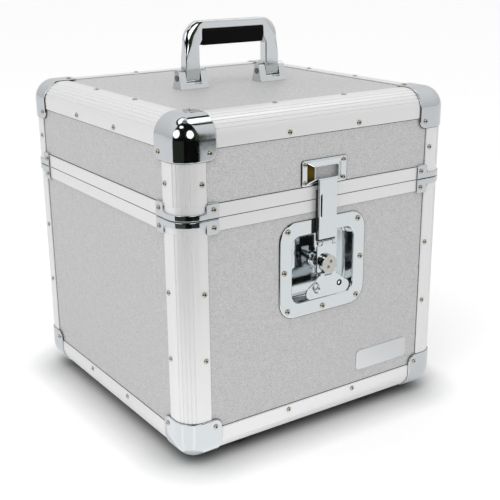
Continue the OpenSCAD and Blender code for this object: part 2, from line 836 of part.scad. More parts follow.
module dish_rivets() {
    on_side(0) translate([0, z_dish, dish_face]) {
        for (x = [-1, 1]) {
            for (z = [-1, 1]) translate([x * dish_rivet_x, z * dish_rivet_z, 0]) rivet(dish_rivet_d);
            translate([x * dish_rivet_side, 0, 0]) rivet(dish_rivet_d);
        }
        translate([0, -dish_rivet_low, 0]) rivet(dish_rivet_d);
    }
}

// ---- latch mechanism, drawn on the front face: x along, y up, z out ----

module latch_spindle() {
    end = dish_face - recess_back - collar_play - collar_t;
    tab = wing_tab_w / 2;
    color(CHROME) on_side(0) translate([0, z_spindle, 0]) difference() {
        union() {
            translate([0, 0, latch_front - knob_t]) cylinder(r = knob_r, h = knob_t);
            translate([0, 0, end]) cylinder(r = spindle_r, h = latch_front - knob_t / 2 - end);
            translate([0, 0, end]) cylinder(r = spindle_r + collar_step, h = collar_t);
            translate([-tab, -wing_drop, wing_axis - wing_knuckle_r])
                cube([2 * tab, wing_drop, wing_knuckle_r * 2]);
            translate([-tab, -wing_drop, wing_axis]) rotate([0, 90, 0])
                cylinder(r = wing_knuckle_r, h = 2 * tab);
        }
        translate([-tab - cut, -wing_drop, wing_axis]) rotate([0, 90, 0])
            cylinder(r = wing_pin_r + run_gap, h = 2 * (tab + cut));
        rotate(knob_hole_turn) for (s = [-1, 1]) translate([s * knob_hole_x, 0, latch_front - knob_t / 2])
            cylinder(r = knob_hole_r, h = knob_t);
    }
}

// Outline of the wing below its hinge, narrow at the hinge and wide at its rounded free end
module wing_outline() {
    neck = wing_neck_w / 2;
    wide = wing_w / 2 - wing_r;
    low = wing_r - wing_len;
    slope = atan2(neck - wing_w / 2 + wing_r, -low - wing_knuckle_r);
    polygon([
        [-neck, -wing_knuckle_r], [neck, -wing_knuckle_r],
        [wide + wing_r * cos(slope), low - wing_r * sin(slope)], [wide, low],
        [wide, low - wing_r], [-wide, low - wing_r],
        [-wide, low], [-wide - wing_r * cos(slope), low - wing_r * sin(slope)]
    ]);
    for (s = [-1, 1]) translate([s * wide, low]) circle(wing_r);
}

module latch_wing() {
    inner = wing_tab_w / 2 + knuckle_gap;
    outer = wing_neck_w / 2;
    color(CHROME) on_side(0) translate([0, z_wing, wing_axis]) difference() {
        union() {
            translate([0, 0, -wing_t / 2]) linear_extrude(wing_t) wing_outline();
            for (from = [-outer, inner]) translate([from, 0, 0]) {
                translate([0, -wing_knuckle_r - cut, -wing_t / 2])
                    cube([outer - inner, wing_knuckle_r + cut, wing_t]);
                rotate([0, 90, 0]) cylinder(r = wing_knuckle_r, h = outer - inner);
            }
        }
        translate([-outer - cut, 0, 0]) rotate([0, 90, 0])
            cylinder(r = wing_pin_r + run_gap, h = 2 * (outer + cut));
        translate([-inner, -wing_knuckle_r - wing_notch_gap, -wing_t])
            cube([2 * inner, wing_drop, 2 * wing_t]);
        for (s = [-1, 1]) translate([s * wing_hole_x, wing_hole_z - wing_len, -wing_t])
            cylinder(r = wing_hole_r, h = 2 * wing_t);
    }
}

module latch_wing_pin() {
    color(STEEL) on_side(0) translate([-wing_neck_w / 2, z_wing, wing_axis]) rotate([0, 90, 0])
        cylinder(r = wing_pin_r, h = wing_neck_w);
}

// Wire eye that stands out of the wing's left hole
module latch_eye() {
    color(CHROME) on_side(0)
        translate([-wing_hole_x, z_wing + wing_hole_z - wing_len, wing_back + wing_t]) intersection() {
            rotate([0, 90, 0]) rotate_extrude() translate([eye_r, 0]) circle(eye_wire_r);
            translate([-eye_r, -2 * eye_r, 0]) cube([2 * eye_r, 4 * eye_r, latch_front - wing_back - wing_t]);
        }
}

module latch_link() {
    tab = bar_tab_w / 2;
    shoulder = bar_pivot_up - bar_knuckle_r - shoulder_gap;
    hole_r = spindle_r + knuckle_gap;
    color(CHROME) on_side(0) translate([0, z_spindle, 0]) {
        difference() {
            union() {
                translate([-link_w / 2, -link_low, link_back]) cube([link_w, link_low + shoulder, link_t]);
                translate([-tab, 0, link_back]) cube([2 * tab, bar_pivot_up, link_t]);
                translate([-tab, bar_pivot_up, bar_axis]) rotate([0, 90, 0])
                    cylinder(r = bar_knuckle_r, h = 2 * tab);
            }
            translate([0, 0, link_back - cut]) linear_extrude(link_t + 2 * cut) union() {
                for (y = [0, -lift]) translate([0, y]) circle(hole_r);
                translate([-hole_r, -lift]) square([2 * hole_r, lift]);
            }
            translate([-tab - cut, bar_pivot_up, bar_axis]) rotate([0, 90, 0])
                cylinder(r = bar_pin_r + run_gap, h = 2 * (tab + cut));
        }
    }
}

module latch_bar_pin() {
    color(STEEL) on_side(0) translate([-bar_w / 2, z_bar, bar_axis]) rotate([0, 90, 0])
        cylinder(r = bar_pin_r, h = bar_w);
}

// Draw bar: a plate with side flanges, two knuckles at its foot and a turned-in top
module latch_bar() {
    inner = bar_tab_w / 2 + knuckle_gap;
    side_top = z_keeper_low - bar_side_gap - z_bar;
    side_front = bar_front - bar_t / 2;
    top = z_bar_top - z_bar;
    color(CHROME) on_side(0) translate([0, z_bar, 0]) {
        difference() {
            union() {
                translate([-bar_w / 2, 0, bar_front - bar_t]) cube([bar_w, top - bar_t, bar_t]);
                for (x = [-bar_w / 2, bar_w / 2 - bar_side_t])
                    translate([x, 0, bar_side_back])
                        cube([bar_side_t, side_top, side_front - bar_side_back]);
                for (x = [-bar_w / 2, inner]) translate([x, 0, bar_axis]) rotate([0, 90, 0])
                    cylinder(r = bar_knuckle_r, h = bar_w / 2 - inner);
                translate([-bar_w / 2, top - bar_t, bar_front - bar_t]) rotate([0, 90, 0])
                    intersection() {
                        cylinder(r = bar_t, h = bar_w);
                        translate([-bar_t, 0, 0]) cube([bar_t, bar_t, bar_w]);
                    }
                translate([-bar_w / 2 + bar_side_t + bar_rib_w, bar_rib_up, bar_front])
                    linear_extrude(bar_rib_h) union() {
                        square([bar_rib_w, bar_rib_l]);
                        for (y = [0, bar_rib_l]) translate([bar_rib_w / 2, y]) circle(bar_rib_w / 2);
                    }
            }
            translate([-inner, -bar_knuckle_r - cut, 0])
                cube([2 * inner, 2 * bar_knuckle_r + cut + knuckle_gap, latch_front]);
            translate([-bar_w / 2 - cut, 0, bar_axis]) rotate([0, 90, 0])
                cylinder(r = bar_pin_r + run_gap, h = bar_w + 2 * cut);
        }
    }
}

// ---- keeper ----

module keeper() {
    thin = slot_wall / 2;
    color(CHROME) on_side(0) translate([0, z_keeper, 0]) difference() {
        union() {
            translate([-keeper_w / 2, -keeper_h / 2, -skin_t]) cube([keeper_w, keeper_h, dish_t]);
            hull() {
                translate([-keeper_foot_w / 2, -keeper_foot_h / 2, dish_face - thin])
                    cube([keeper_foot_w, keeper_foot_h, thin]);
                translate([-slot_w / 2 - slot_wall, -slot_h / 2 - slot_wall, keeper_front - thin])
                    cube([slot_w + 2 * slot_wall, slot_h + 2 * slot_wall, thin]);
            }
        }
        translate([-slot_w / 2, -slot_h / 2, -skin_t - cut])
            cube([slot_w, slot_h, keeper_front + skin_t + 2 * cut]);
    }
}

module keeper_rivets() {
    on_side(0) translate([0, z_keeper, dish_face]) for (x = [-1, 1], y = [-1, 1])
        translate([x * keeper_rivet_x, y * keeper_rivet_z, 0]) rivet(keeper_rivet_d, rivet_h);
}

// ---- hinges, drawn on the back face: x along, y up from the seam, z out ----

module at_hinges() {
    for (x = [-1, 1]) on_side(2) translate([x * (half_w - hinge_x), z_seam, 0]) children();
}

// Leaf that grows upwards; from and to are lists of the knuckles' ends
module leaf(rim_h, knuckles) {
    low = hinge_knuckle_r - leaf_t;
    step = seam_gap / 2 + rim_h + knuckle_gap;
    difference() {
        union() {
            translate([-hinge_w / 2, low, 0]) cube([hinge_w, step + leaf_t - low, leaf_t]);
            translate([-hinge_w / 2, step, -skin_t]) cube([hinge_w, leaf_h - step, leaf_t]);
            for (k = knuckles) {
                translate([k[0], low, 0]) cube([k[1] - k[0], leaf_t, hinge_out]);
                translate([k[0], 0, hinge_out]) rotate([0, 90, 0])
                    cylinder(r = hinge_knuckle_r, h = k[1] - k[0]);
            }
        }
        translate([-hinge_w / 2 - cut, 0, hinge_out]) rotate([0, 90, 0])
            cylinder(r = hinge_pin_r + run_gap, h = hinge_w + 2 * cut);
    }
}

module hinge_base_leaves() {
    end = hinge_w / 2;
    inner = hinge_mid_w / 2 + knuckle_gap;
    color(CHROME) at_hinges() mirror([0, 1, 0]) leaf(base_rim_h, [[-end, -inner], [inner, end]]);
}

module hinge_lid_leaves() {
    color(CHROME) at_hinges() leaf(lid_rim_h, [[-hinge_mid_w / 2, hinge_mid_w / 2]]);
}

module hinge_pins() {
    color(STEEL) at_hinges() translate([-hinge_w / 2, 0, hinge_out]) rotate([0, 90, 0]) {
        cylinder(r = hinge_pin_r, h = hinge_w);
        for (x = [-hinge_pin_head_h, hinge_w]) translate([0, 0, x])
            cylinder(r = hinge_pin_r + hinge_pin_head_step, h = hinge_pin_head_h);
    }
}

// Rivets of one pair of leaves: up is 1 on the lid and -1 on the base
module hinge_rivets(up) {
    at_hinges() for (i = [-1 : 1])
        translate([i * hinge_rivet_pitch, up * hinge_rivet_z, leaf_t - skin_t]) rivet();
}

// ---- handle ----

// Side view of a bracket's cheek, y to the back and z up, rounded at its top
module cheek_section() {
    r = bracket_top_d / 2;
    slope = atan2(bracket_d / 2 - r, bracket_h - r);
    polygon([
        [-bracket_d / 2, 0], [bracket_d / 2, 0],
        [r * cos(slope), bracket_h - r + r * sin(slope)],
        [-r * cos(slope), bracket_h - r + r * sin(slope)]
    ]);
    translate([0, bracket_h - r]) circle(r);
}

// Places children at both legs of the handle, on the top panel
module at_legs() {
    for (x = [-handle_x, handle_x]) translate([x, 0, z_lid_panel]) children();
}

module handle_brackets() {
    color(CHROME) at_legs() difference() {
        rotate([90, 0, 90]) linear_extrude(bracket_w, center = true) cheek_section();
        translate([-bracket_slot / 2, -bracket_d, pivot_h - handle_t / 2 - bracket_floor_play])
            cube([bracket_slot, 2 * bracket_d, bracket_h]);
        translate([0, 0, pivot_h]) rotate([0, 90, 0])
            cylinder(r = handle_pin_r + run_gap, h = bracket_w + cut, center = true);
    }
}

module handle_pins() {
    color(STEEL) at_legs() translate([0, 0, pivot_h]) rotate([0, 90, 0]) {
        cylinder(r = handle_pin_r, h = bracket_w, center = true);
        for (s = [0, 1]) mirror([0, 0, s]) translate([0, 0, bracket_w / 2])
            cylinder(d = handle_pin_head_d, h = handle_pin_head_h);
    }
}

// Front view of the handle's frame, x along and y up from the pivot
module handle_outline() {
    bend = leg_out - handle_r;
    top = z_handle_top - z_pivot;
    grip_top = z_grip_top - z_pivot;
    grip_low = z_grip - z_pivot;
    difference() {
        union() {
            translate([-leg_out, -handle_t / 2]) square([2 * leg_out, top + handle_t / 2 - handle_r]);
            translate([-bend, 0]) square([2 * bend, top]);
            for (s = [-1, 1]) translate([s * bend, top - handle_r]) circle(handle_r);
        }
        polygon([
            [-leg_in, -handle_t], [leg_in, -handle_t],
            [leg_in, grip_low], [grip_w / 2, grip_low + haunch_h],
            [grip_w / 2, grip_top], [-grip_w / 2, grip_top],
            [-grip_w / 2, grip_low + haunch_h], [-leg_in, grip_low]
        ]);
        translate([-grip_w / 2, grip_low]) square([grip_w, grip_h]);
    }
}

// Side view of the handle's frame: round at the pivot, straight above it, with rounded upper edges
module handle_side() {
    top = z_handle_top - z_pivot;
    circle(d = handle_t);
    translate([-handle_t / 2, 0]) square([handle_t, top - handle_edge]);
    translate([handle_edge - handle_t / 2, 0]) square([handle_t - 2 * handle_edge, top]);
    for (s = [-1, 1]) translate([s * (handle_t / 2 - handle_edge), top - handle_edge]) circle(handle_edge);
}

module handle_frame() {
    color(CHROME) translate([0, 0, z_pivot]) difference() {
        intersection() {
            rotate([90, 0, 0]) linear_extrude(2 * handle_t, center = true) handle_outline();
            rotate([90, 0, 90]) linear_extrude(2 * leg_out + cut, center = true) handle_side();
            linear_extrude(4 * handle_top, center = true) round_rect(2 * leg_out, handle_t, handle_edge);
        }
        rotate([0, 90, 0]) cylinder(r = handle_pin_r + run_gap, h = 2 * leg_out + cut, center = true);
    }
}

module handle_grip() {
    low = z_grip - z_pivot;
    high = z_grip_top - z_pivot - grip_fit;
    half = grip_w / 2 - grip_fit;
    deep = grip_t / 2;
    color(RUBBER) translate([0, 0, z_pivot]) rotate([90, 0, 90]) linear_extrude(2 * half, center = true) {
        translate([-deep, low + grip_r]) square([grip_t, high - low - grip_r]);
        translate([grip_r - deep, low]) square([grip_t - 2 * grip_r, grip_r]);
        for (s = [-1, 1]) translate([s * (deep - grip_r), low + grip_r]) circle(grip_r);
    }
}

// ---- plain plate ----

module plain_plate() {
    color(CHROME) on_side(0) translate([half_w - plate_x, z_under + plate_z, -skin_t])
        linear_extrude(plate_t) round_rect(plate_w, plate_h, plate_r);
}

// ---- nodes ----

CORNERS = [["front_left", -1, -1], ["front_right", 1, -1], ["back_left", -1, 1], ["back_right", 1, 1]];

for (c = CORNERS) {
    base_column(c[1], c[2]);
    base_corner(c[1], c[2]);
    lid_column(c[1], c[2]);
}
for (side = [0 : 3]) {
    base_panel(side);
    base_edge(side);
    lid_panel(side);
    lid_edge(side);
}
base_floor();
base_rim();
base_braces();
base_lining();
base_rivets();
feet();
foot_screws();
latch_dish();
latch_spindle();
latch_wing();
latch_wing_pin();
latch_eye();
latch_link();
latch_bar_pin();
latch_bar();
hinge_base_leaves();
hinge_pins();
plain_plate();
lid_top();
lid_corners(-1);  // lid_corners_front
lid_corners(1);  // lid_corners_back
lid_rim();
lid_braces();
lid_lining();
lid_rivets();
keeper();
hinge_lid_leaves();
handle_brackets();
handle_frame();
handle_grip();
handle_pins();
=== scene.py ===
import math

import bmesh
import bpy
import numpy as np
from mathutils import Matrix


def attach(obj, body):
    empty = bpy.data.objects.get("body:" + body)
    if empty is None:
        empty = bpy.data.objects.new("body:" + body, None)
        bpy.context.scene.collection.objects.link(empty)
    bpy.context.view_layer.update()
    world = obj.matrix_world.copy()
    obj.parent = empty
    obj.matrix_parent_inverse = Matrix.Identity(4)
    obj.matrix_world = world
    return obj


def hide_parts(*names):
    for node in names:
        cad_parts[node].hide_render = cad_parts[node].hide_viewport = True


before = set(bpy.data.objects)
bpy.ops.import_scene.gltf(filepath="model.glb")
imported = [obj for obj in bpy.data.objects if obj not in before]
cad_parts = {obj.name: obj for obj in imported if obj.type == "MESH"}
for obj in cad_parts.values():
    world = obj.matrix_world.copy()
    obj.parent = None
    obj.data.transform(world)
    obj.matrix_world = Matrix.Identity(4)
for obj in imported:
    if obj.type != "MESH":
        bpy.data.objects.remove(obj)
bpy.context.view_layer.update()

# ---- sizes in millimetres, the same as the solids' ----

MM = 0.001
HALF = 175.0                                    # half of the width and of the depth
EDGE_R, EDGE_LEG, BAR_END = 22.0, 31.5, 33.0    # edge extrusions: radius, flange, end of the level ones
SKIN, PANEL_IN, ANGLE_IN = 1.6, 8.6, 10.1       # outer skin, inner face of the panels and of the angles
INNER_LEG = 28.0
GROOVES, GROOVE_R, GROOVE_PITCH = 5, 0.6, 11.25
CAP_REACH, CAP_T, CAP_CORNER = 43.0, 1.4, 9.0
BRACE_REACH, BRACE_TAB, BRACE_H, BRACE_BAND, BRACE_T, BRACE_R = 44.0, 15.5, 16.0, 6.6, 1.4, 3.5
Z_UNDER, Z_SEAM, Z_TOP = 8.0, 266.6, 366.6
Z_BASE_RIM, Z_LID_RIM = 266.3, 266.9
BASE_RIM_H, LID_RIM_H = 13.1, 13.7
TONGUE_AT, TONGUE_W, TONGUE_H, TONGUE_PLAY = 5.1, 2.0, 2.0, 0.5
Z_DISH, DISH_FACE, SPINDLE_UP = 192.4, -0.1, 3.6
DISH, MOUTH, DISH_DEPTH = (57.5, 53.0, 20.0), (41.0, 36.8, 10.0), 14.0  # half width, half height, corner radius
Z_KEEPER, KEEPER = 294.8, (30.0, 13.8, 3.0)
BAR_OUT = 4.6                                   # back face of the draw bar, out from the case
RIVET_X, FLANGE_RIVET, CAP_RIVET, BRACE_RIVET = 45.0, 26.0, 35.0, (137.0, 9.2)
HINGE_X, HINGE_RIVETS, HINGE_LEAF = 88.0, (-22.0, 0.0, 22.0), 24.5


# ---- placing: 4 x 4 matrices that act on millimetres ----

def shift(x=0.0, y=0.0, z=0.0):
    """Moves by x, y and z."""
    return np.array(Matrix.Translation((x, y, z)))


def turn(degrees, axis):
    """Turns about an axis through the origin."""
    return np.array(Matrix.Rotation(math.radians(degrees), 4, axis))


def scale(x, y, z):
    """Scales or mirrors along the axes."""
    return np.diag([x, y, z, 1.0])


def on_side(k):
    """Stands a piece on side k, 0 front, 1 right, 2 back, 3 left: its x runs along, y up, z out of the case."""
    return turn(90 * k, "Z") @ shift(y=-HALF) @ turn(90, "X")


def at_corner(sx, sy):
    """Carries a front left piece, with its unrounded corner at the origin, to the corner on that side."""
    return scale(-sx, -sy, 1) @ shift(-HALF, -HALF)


FROM_TOP = shift(z=Z_TOP) @ scale(1, 1, -1)     # hangs a piece that is drawn upwards from z = 0
STAND = {"base": shift(z=Z_UNDER), "lid": FROM_TOP}
CYCLE = np.eye(4)                               # carries x to y, y to z and z to x
CYCLE[:3, :3] = np.roll(np.eye(3), 1, axis=0)
THREE_WAYS = [np.eye(4), CYCLE, CYCLE @ CYCLE]
CORNERS = {"front_left": (-1, -1), "front_right": (1, -1), "back_left": (-1, 1), "back_right": (1, 1)}
SIDES = ["front", "right", "back", "left"]


# ---- surfaces: (points, corner indices, corners of each face, corner UVs in metres) ----

def flipped(shell):
    """The same surface inside out: reading all corners backwards turns every face over."""
    points, loops, sizes, uv = shell
    return points, loops[::-1], sizes[::-1], uv[::-1]


def outward(shell):
    """A closed surface with its faces pointing out, as the sign of its volume tells: that is a sixth of the
    sum, over fans of triangles, of a . (b x c)."""
    points, loops, sizes, _ = shell
    ends = np.cumsum(sizes)
    first = np.repeat(points[loops[ends - sizes]], sizes, axis=0)
    parts = (first * np.cross(points[loops], points[np.roll(loops, -1)])).sum(1)
    parts[ends - 1] = 0
    return flipped(shell) if parts.sum() < 0 else shell


def moved(shell, matrix):
    """The surface carried by a matrix, and turned over again where the matrix mirrors it."""
    points, loops, sizes, uv = shell
    there = points @ matrix[:3, :3].T + matrix[:3, 3]
    out = there, loops, sizes, uv
    return flipped(out) if np.linalg.det(matrix[:3, :3]) < 0 else out


def merged(*shells):
    """Several surfaces as one, each one's indices raised by the points before it."""
    counts = np.cumsum([0] + [len(s[0]) for s in shells])
    return (np.concatenate([s[0] for s in shells]),
            np.concatenate([s[1] + n for s, n in zip(shells, counts)]),
            np.concatenate([s[2] for s in shells]),
            np.concatenate([s[3] for s in shells]))


def welded(shell):
    """Points that lie within a ten-thousandth of a millimetre become one."""
    points, loops, sizes, uv = shell
    _, first, to = np.unique(np.round(points, 4), axis=0, return_index=True, return_inverse=True)
    return points[first], to.reshape(-1)[loops], sizes, uv


def lofted(rings, tube=True, loop=False):
    """Surface through rows of points. Row i meets row i + 1 in four-sided faces. A tube has each row closed on
    itself, and its first and last rows are joined in a loop or else filled with one face each. The UV map
    holds the distance along the rows' first points and the distance round a row."""
    rings = np.asarray(rings, float)
    rows, cols = rings.shape[:2]
    points = rings.reshape(-1, 3)
    i, j = np.meshgrid(np.arange(rows if loop else rows - 1), np.arange(cols if tube else cols - 1), indexing="ij")
    i2, j2 = (i + 1) % rows, (j + 1) % cols
    loops = np.stack([i * cols + j, i * cols + j2, i2 * cols + j2, i2 * cols + j], -1).reshape(-1)
    along = np.concatenate([[0], np.cumsum(np.linalg.norm(np.diff(rings[:, 0], axis=0), axis=1)), [0]])
    around = np.concatenate([[0], np.cumsum(np.linalg.norm(
        np.roll(rings[0], -1, axis=0) - rings[0], axis=1))])
    uv = np.stack([np.stack([along[i], along[i], along[i + 1], along[i + 1]], -1),
                   np.stack([around[j], around[j + 1], around[j + 1], around[j]], -1)], -1).reshape(-1, 2) * MM
    sizes = np.full(i.size, 4)
    if tube and not loop:
        caps = np.concatenate([np.arange(cols)[::-1], (rows - 1) * cols + np.arange(cols)])
        loops = np.concatenate([loops, caps])
        uv = np.concatenate([uv, np.zeros((2 * cols, 2))])
        sizes = np.concatenate([sizes, [cols, cols]])
    shell = points, loops, sizes, uv
    return outward(shell) if tube else shell


def revolved(profile, steps):
    """Closed surface of a profile of (radius, height) turned about Z; it starts and ends on the axis."""
    profile = np.asarray(profile, float)
    a = np.arange(steps) * 2 * np.pi / steps
    r, z = np.maximum(profile[:, 0], 1e-3)[:, None], profile[:, 1][:, None]
    return lofted(np.stack([r * np.cos(a), r * np.sin(a), z + 0 * a], -1))


def softened(corners, r):
    """Outline whose sharp corners become three points: one r back, one r on, and one near the corner, on the
    round between them. Corners that turn by less than 20 degrees stay as they are."""
    p = np.asarray(corners, float)
    back, on = np.roll(p, 1, axis=0) - p, np.roll(p, -1, axis=0) - p
    lb, lo = np.linalg.norm(back, axis=1, keepdims=True), np.linalg.norm(on, axis=1, keepdims=True)
    cosine = -(back * on).sum(1) / (lb * lo)[:, 0]
    b = p + back / lb * np.minimum(r, lb / 2.2)
    o = p + on / lo * np.minimum(r, lo / 2.2)
    middle = p * 0.42 + (b + o) * 0.29
    turns = cosine < math.cos(math.radians(20))
    three = np.stack([b, np.where(turns[:, None], middle, p), o], 1)
    return three[np.stack([turns, np.ones_like(turns), turns], 1)]


def rounded_rect(a, b, r, steps):
    """Outline of a rectangle of half sizes a and b with corner radius r: four quarter arcs about the corner
    centres, each followed by two points that split the straight side into thirds."""
    t = np.linspace(0, np.pi / 2, steps)
    arc = np.stack([np.cos(t), np.sin(t)], -1) * r
    turns = [np.array([[math.cos(q), -math.sin(q)], [math.sin(q), math.cos(q)]]) for q in np.pi / 2 * np.arange(4)]
    centres = [(a - r, b - r), (r - a, b - r), (r - a, r - b), (a - r, r - b)]
    arcs = np.array([arc @ m.T + c for m, c in zip(turns, centres)])
    after = np.roll(arcs, -1, axis=0)[:, 0]
    thirds = np.stack([(2 * arcs[:, -1] + after) / 3, (arcs[:, -1] + 2 * after) / 3], 1)
    return np.concatenate([arcs, thirds], 1).reshape(-1, 2)


def raised(outline, z):
    """The points (x, y) of an outline, at a height."""
    return np.column_stack([outline, np.full(len(outline), z)])


def pressed(stations, loop=True, steps=8):
    """Sheet metal pressed in rounded rectangles. Each station (half width, half height, corner radius, height,
    centre y) is one such outline at its height, and the surface runs through them in turn."""
    return lofted([raised(rounded_rect(a, b, r, steps) + (0, y), z) for a, b, r, z, y in stations], loop=loop)


def quarter(n):
    """Pairs (sine, 1 - cosine) of n angles from 0 to 90 degrees, for rounding an edge."""
    t = np.linspace(0, np.pi / 2, n)
    return np.stack([np.sin(t), 1 - np.cos(t)], -1)


def hem(plate, r, q):
    """Stations of a plate's edge, turned over by a quarter circle of radius r at the angles of q."""
    return [(*(np.array(plate) - r + r * s), -r * c, 0) for s, c in q[::-1]]


def roll(d, width, height):
    """Height of a plate's face at distance d from its edge: a quarter ellipse of that width, then flat."""
    return height * np.sqrt(np.clip(1 - (1 - np.clip(d / width, 0, 1)) ** 2, 0, 1))


def same_at(shell, spots):
    """The same surface at every place."""
    return merged(*[moved(shell, m) for m in spots])


def at_corners(shell, place):
    """The same surface at all four corners, placed again as a whole."""
    return same_at(shell, [place @ at_corner(sx, sy) for sx, sy in CORNERS.values()])


# ---- pieces ----

def piece(name, shell, material, body, replaces=(), sharp=32):
    """Puts a surface into a mesh in metres, smooth but for edges sharper than the angle, and rides it."""
    points, loops, sizes, uv = shell
    mesh = bpy.data.meshes.new(name)
    mesh.vertices.add(len(points))
    mesh.vertices.foreach_set("co", (points * MM).ravel())
    mesh.loops.add(len(loops))
    mesh.loops.foreach_set("vertex_index", np.ascontiguousarray(loops, np.int32))
    mesh.polygons.add(len(sizes))
    mesh.polygons.foreach_set("loop_start", (np.cumsum(sizes) - sizes).astype(np.int32))
    mesh.update(calc_edges=True)
    layer = mesh.uv_layers.new(name="along")
    layer.data.foreach_set("uv", np.ascontiguousarray(uv, np.float32).ravel())
    return settle(name, mesh, material, body, replaces, sharp, 0.0)


def settle(name, mesh, material, body, replaces, sharp, bevel):
    """Makes the object of a mesh, with its shading, edges, material, body and nodes."""
    mesh.validate()
    mesh.shade_smooth()
    if not bevel:
        mesh.set_sharp_from_angle(angle=math.radians(sharp))
    mesh.materials.append(material)
    obj = bpy.data.objects.new(name, mesh)
    bpy.context.scene.collection.objects.link(obj)
    if bevel:
        edge = obj.modifiers.new("edges", "BEVEL")
        edge.width, edge.segments, edge.limit_method = bevel * MM, 2, "ANGLE"
        edge.angle_limit, edge.harden_normals = math.radians(sharp), True
        edge.use_clamp_overlap = True
    else:
        flats = obj.modifiers.new("flats", "WEIGHTED_NORMAL")
        flats.keep_sharp, flats.weight = True, 50
    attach(obj, body)
    if replaces:
        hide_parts(*replaces)
    return obj


def shade_piece(name, shell, body):
    """A dark piece of sealant or rubber put where the case is in shade: painted shadow."""
    return piece(name, shell, SHADE_DARK, body)


def dressed(node, material, body, bevel, reshape=None):
    """A copy of a CAD node with its doubles merged, its flat faces whole and its edges broken. Its points may
    first be carried elsewhere by a function of their coordinates."""
    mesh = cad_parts[node].data.copy()
    mesh.materials.clear()
    bm = bmesh.new()
    bm.from_mesh(mesh)
    bmesh.ops.remove_doubles(bm, verts=bm.verts, dist=2e-6)
    bmesh.ops.dissolve_limit(bm, angle_limit=math.radians(0.5), verts=bm.verts, edges=bm.edges)
    bm.to_mesh(mesh)
    bm.free()
    if reshape:
        points = np.empty(3 * len(mesh.vertices), np.float32)
        mesh.vertices.foreach_get("co", points)
        mesh.vertices.foreach_set("co", reshape(points.reshape(-1, 3)).astype(np.float32).ravel())
        mesh.update()
    if "custom_normal" in mesh.attributes:
        mesh.attributes.remove(mesh.attributes["custom_normal"])
    return settle(node + "_dressed", mesh, material, body, [node], 32, bevel)


def finish(material, *nodes):
    """Gives CAD nodes that keep their shape a material."""
    for node in nodes:
        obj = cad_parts[node]
        for s in obj.material_slots:
            s.link, s.material = "OBJECT", material


# ---- materials ----

def linear(colour):
    """The linear values of a colour written as sRGB hex, with alpha 1."""
    c = np.array([int(colour[i:i + 2], 16) for i in (1, 3, 5)]) / 255
    return (*np.where(c <= 0.04045, c / 12.92, ((c + 0.055) / 1.055) ** 2.4), 1.0)


def node_of(tree, kind, links=(), **settings):
    """Adds one node. Settings name its properties, or its inputs where no such property exists, and links
    are (input, socket that feeds it or its constant)."""
    n = tree.nodes.new(kind)
    for name, value in settings.items():
        if hasattr(n, name):
            setattr(n, name, value)
        else:
            n.inputs[name.replace("_", " ")].default_value = value
    for name, source in links:
        if isinstance(source, bpy.types.NodeSocket):
            tree.links.new(source, n.inputs[name])
        else:
            n.inputs[name].default_value = source
    return n


def material(name, **values):
    """A new material with a Principled shader; returns it, its node tree and the shader."""
    m = bpy.data.materials.new(name)
    m.use_nodes = True
    shader = m.node_tree.nodes["Principled BSDF"]
    for key, value in values.items():
        shader.inputs[key.replace("_", " ")].default_value = value
    return m, m.node_tree, shader


def laminate():
    """High-pressure laminate on plywood, printed with a fine grey fleck and pressed slightly uneven. The fleck
    is 0.5 mm on the real one, drawn at 1.2 mm so that it shows."""
    m, t, s = material("grey_fleck_laminate", Roughness=0.45, IOR=1.5)
    at = node_of(t, "ShaderNodeTexCoord").outputs["Object"]
    fleck = node_of(t, "ShaderNodeTexNoise", [("Vector", at)], Scale=1100.0, Detail=4.0, Roughness=0.65)
    cloud = node_of(t, "ShaderNodeTexNoise", [("Vector", at)], Scale=150.0, Detail=2.0, Roughness=0.5)
    both = node_of(t, "ShaderNodeMix", [("Factor", 0.08), ("A", fleck.outputs["Fac"]), ("B", cloud.outputs["Fac"])],
                   data_type="FLOAT")
    ramp = node_of(t, "ShaderNodeValToRGB", [("Fac", both.outputs["Result"])])
    ramp.color_ramp.elements[0].position, ramp.color_ramp.elements[0].color = 0.37, linear("#b1b1b1")
    ramp.color_ramp.elements[1].position, ramp.color_ramp.elements[1].color = 0.63, linear("#dfdfdf")
    t.links.new(ramp.outputs["Color"], s.inputs["Base Color"])
    bump = node_of(t, "ShaderNodeBump", [("Height", fleck.outputs["Fac"])], Strength=0.15, Distance=0.0001)
    t.links.new(bump.outputs["Normal"], s.inputs["Normal"])
    return m


def lined(name, colour, metallic, by_map, scale, detail, low, high, strength):
    """Aluminium with fine lines, which vary its shine and lift it: along each bar, as the UV map follows it, or
    along X. The scale gives the cells per metre along each axis."""
    m, t, s = material(name, Metallic=metallic, Base_Color=linear(colour))
    at = (node_of(t, "ShaderNodeUVMap", uv_map="along").outputs["UV"] if by_map
          else node_of(t, "ShaderNodeTexCoord").outputs["Object"])
    drawn = node_of(t, "ShaderNodeMapping", [("Vector", at)], Scale=scale)
    lines = node_of(t, "ShaderNodeTexNoise", [("Vector", drawn.outputs["Vector"])], Scale=1.0, Detail=detail)
    rough = node_of(t, "ShaderNodeMapRange", [("Value", lines.outputs["Fac"])], To_Min=low, To_Max=high)
    t.links.new(rough.outputs["Result"], s.inputs["Roughness"])
    bump = node_of(t, "ShaderNodeBump", [("Height", lines.outputs["Fac"])], Strength=strength, Distance=0.0001)
    t.links.new(bump.outputs["Normal"], s.inputs["Normal"])
    return m


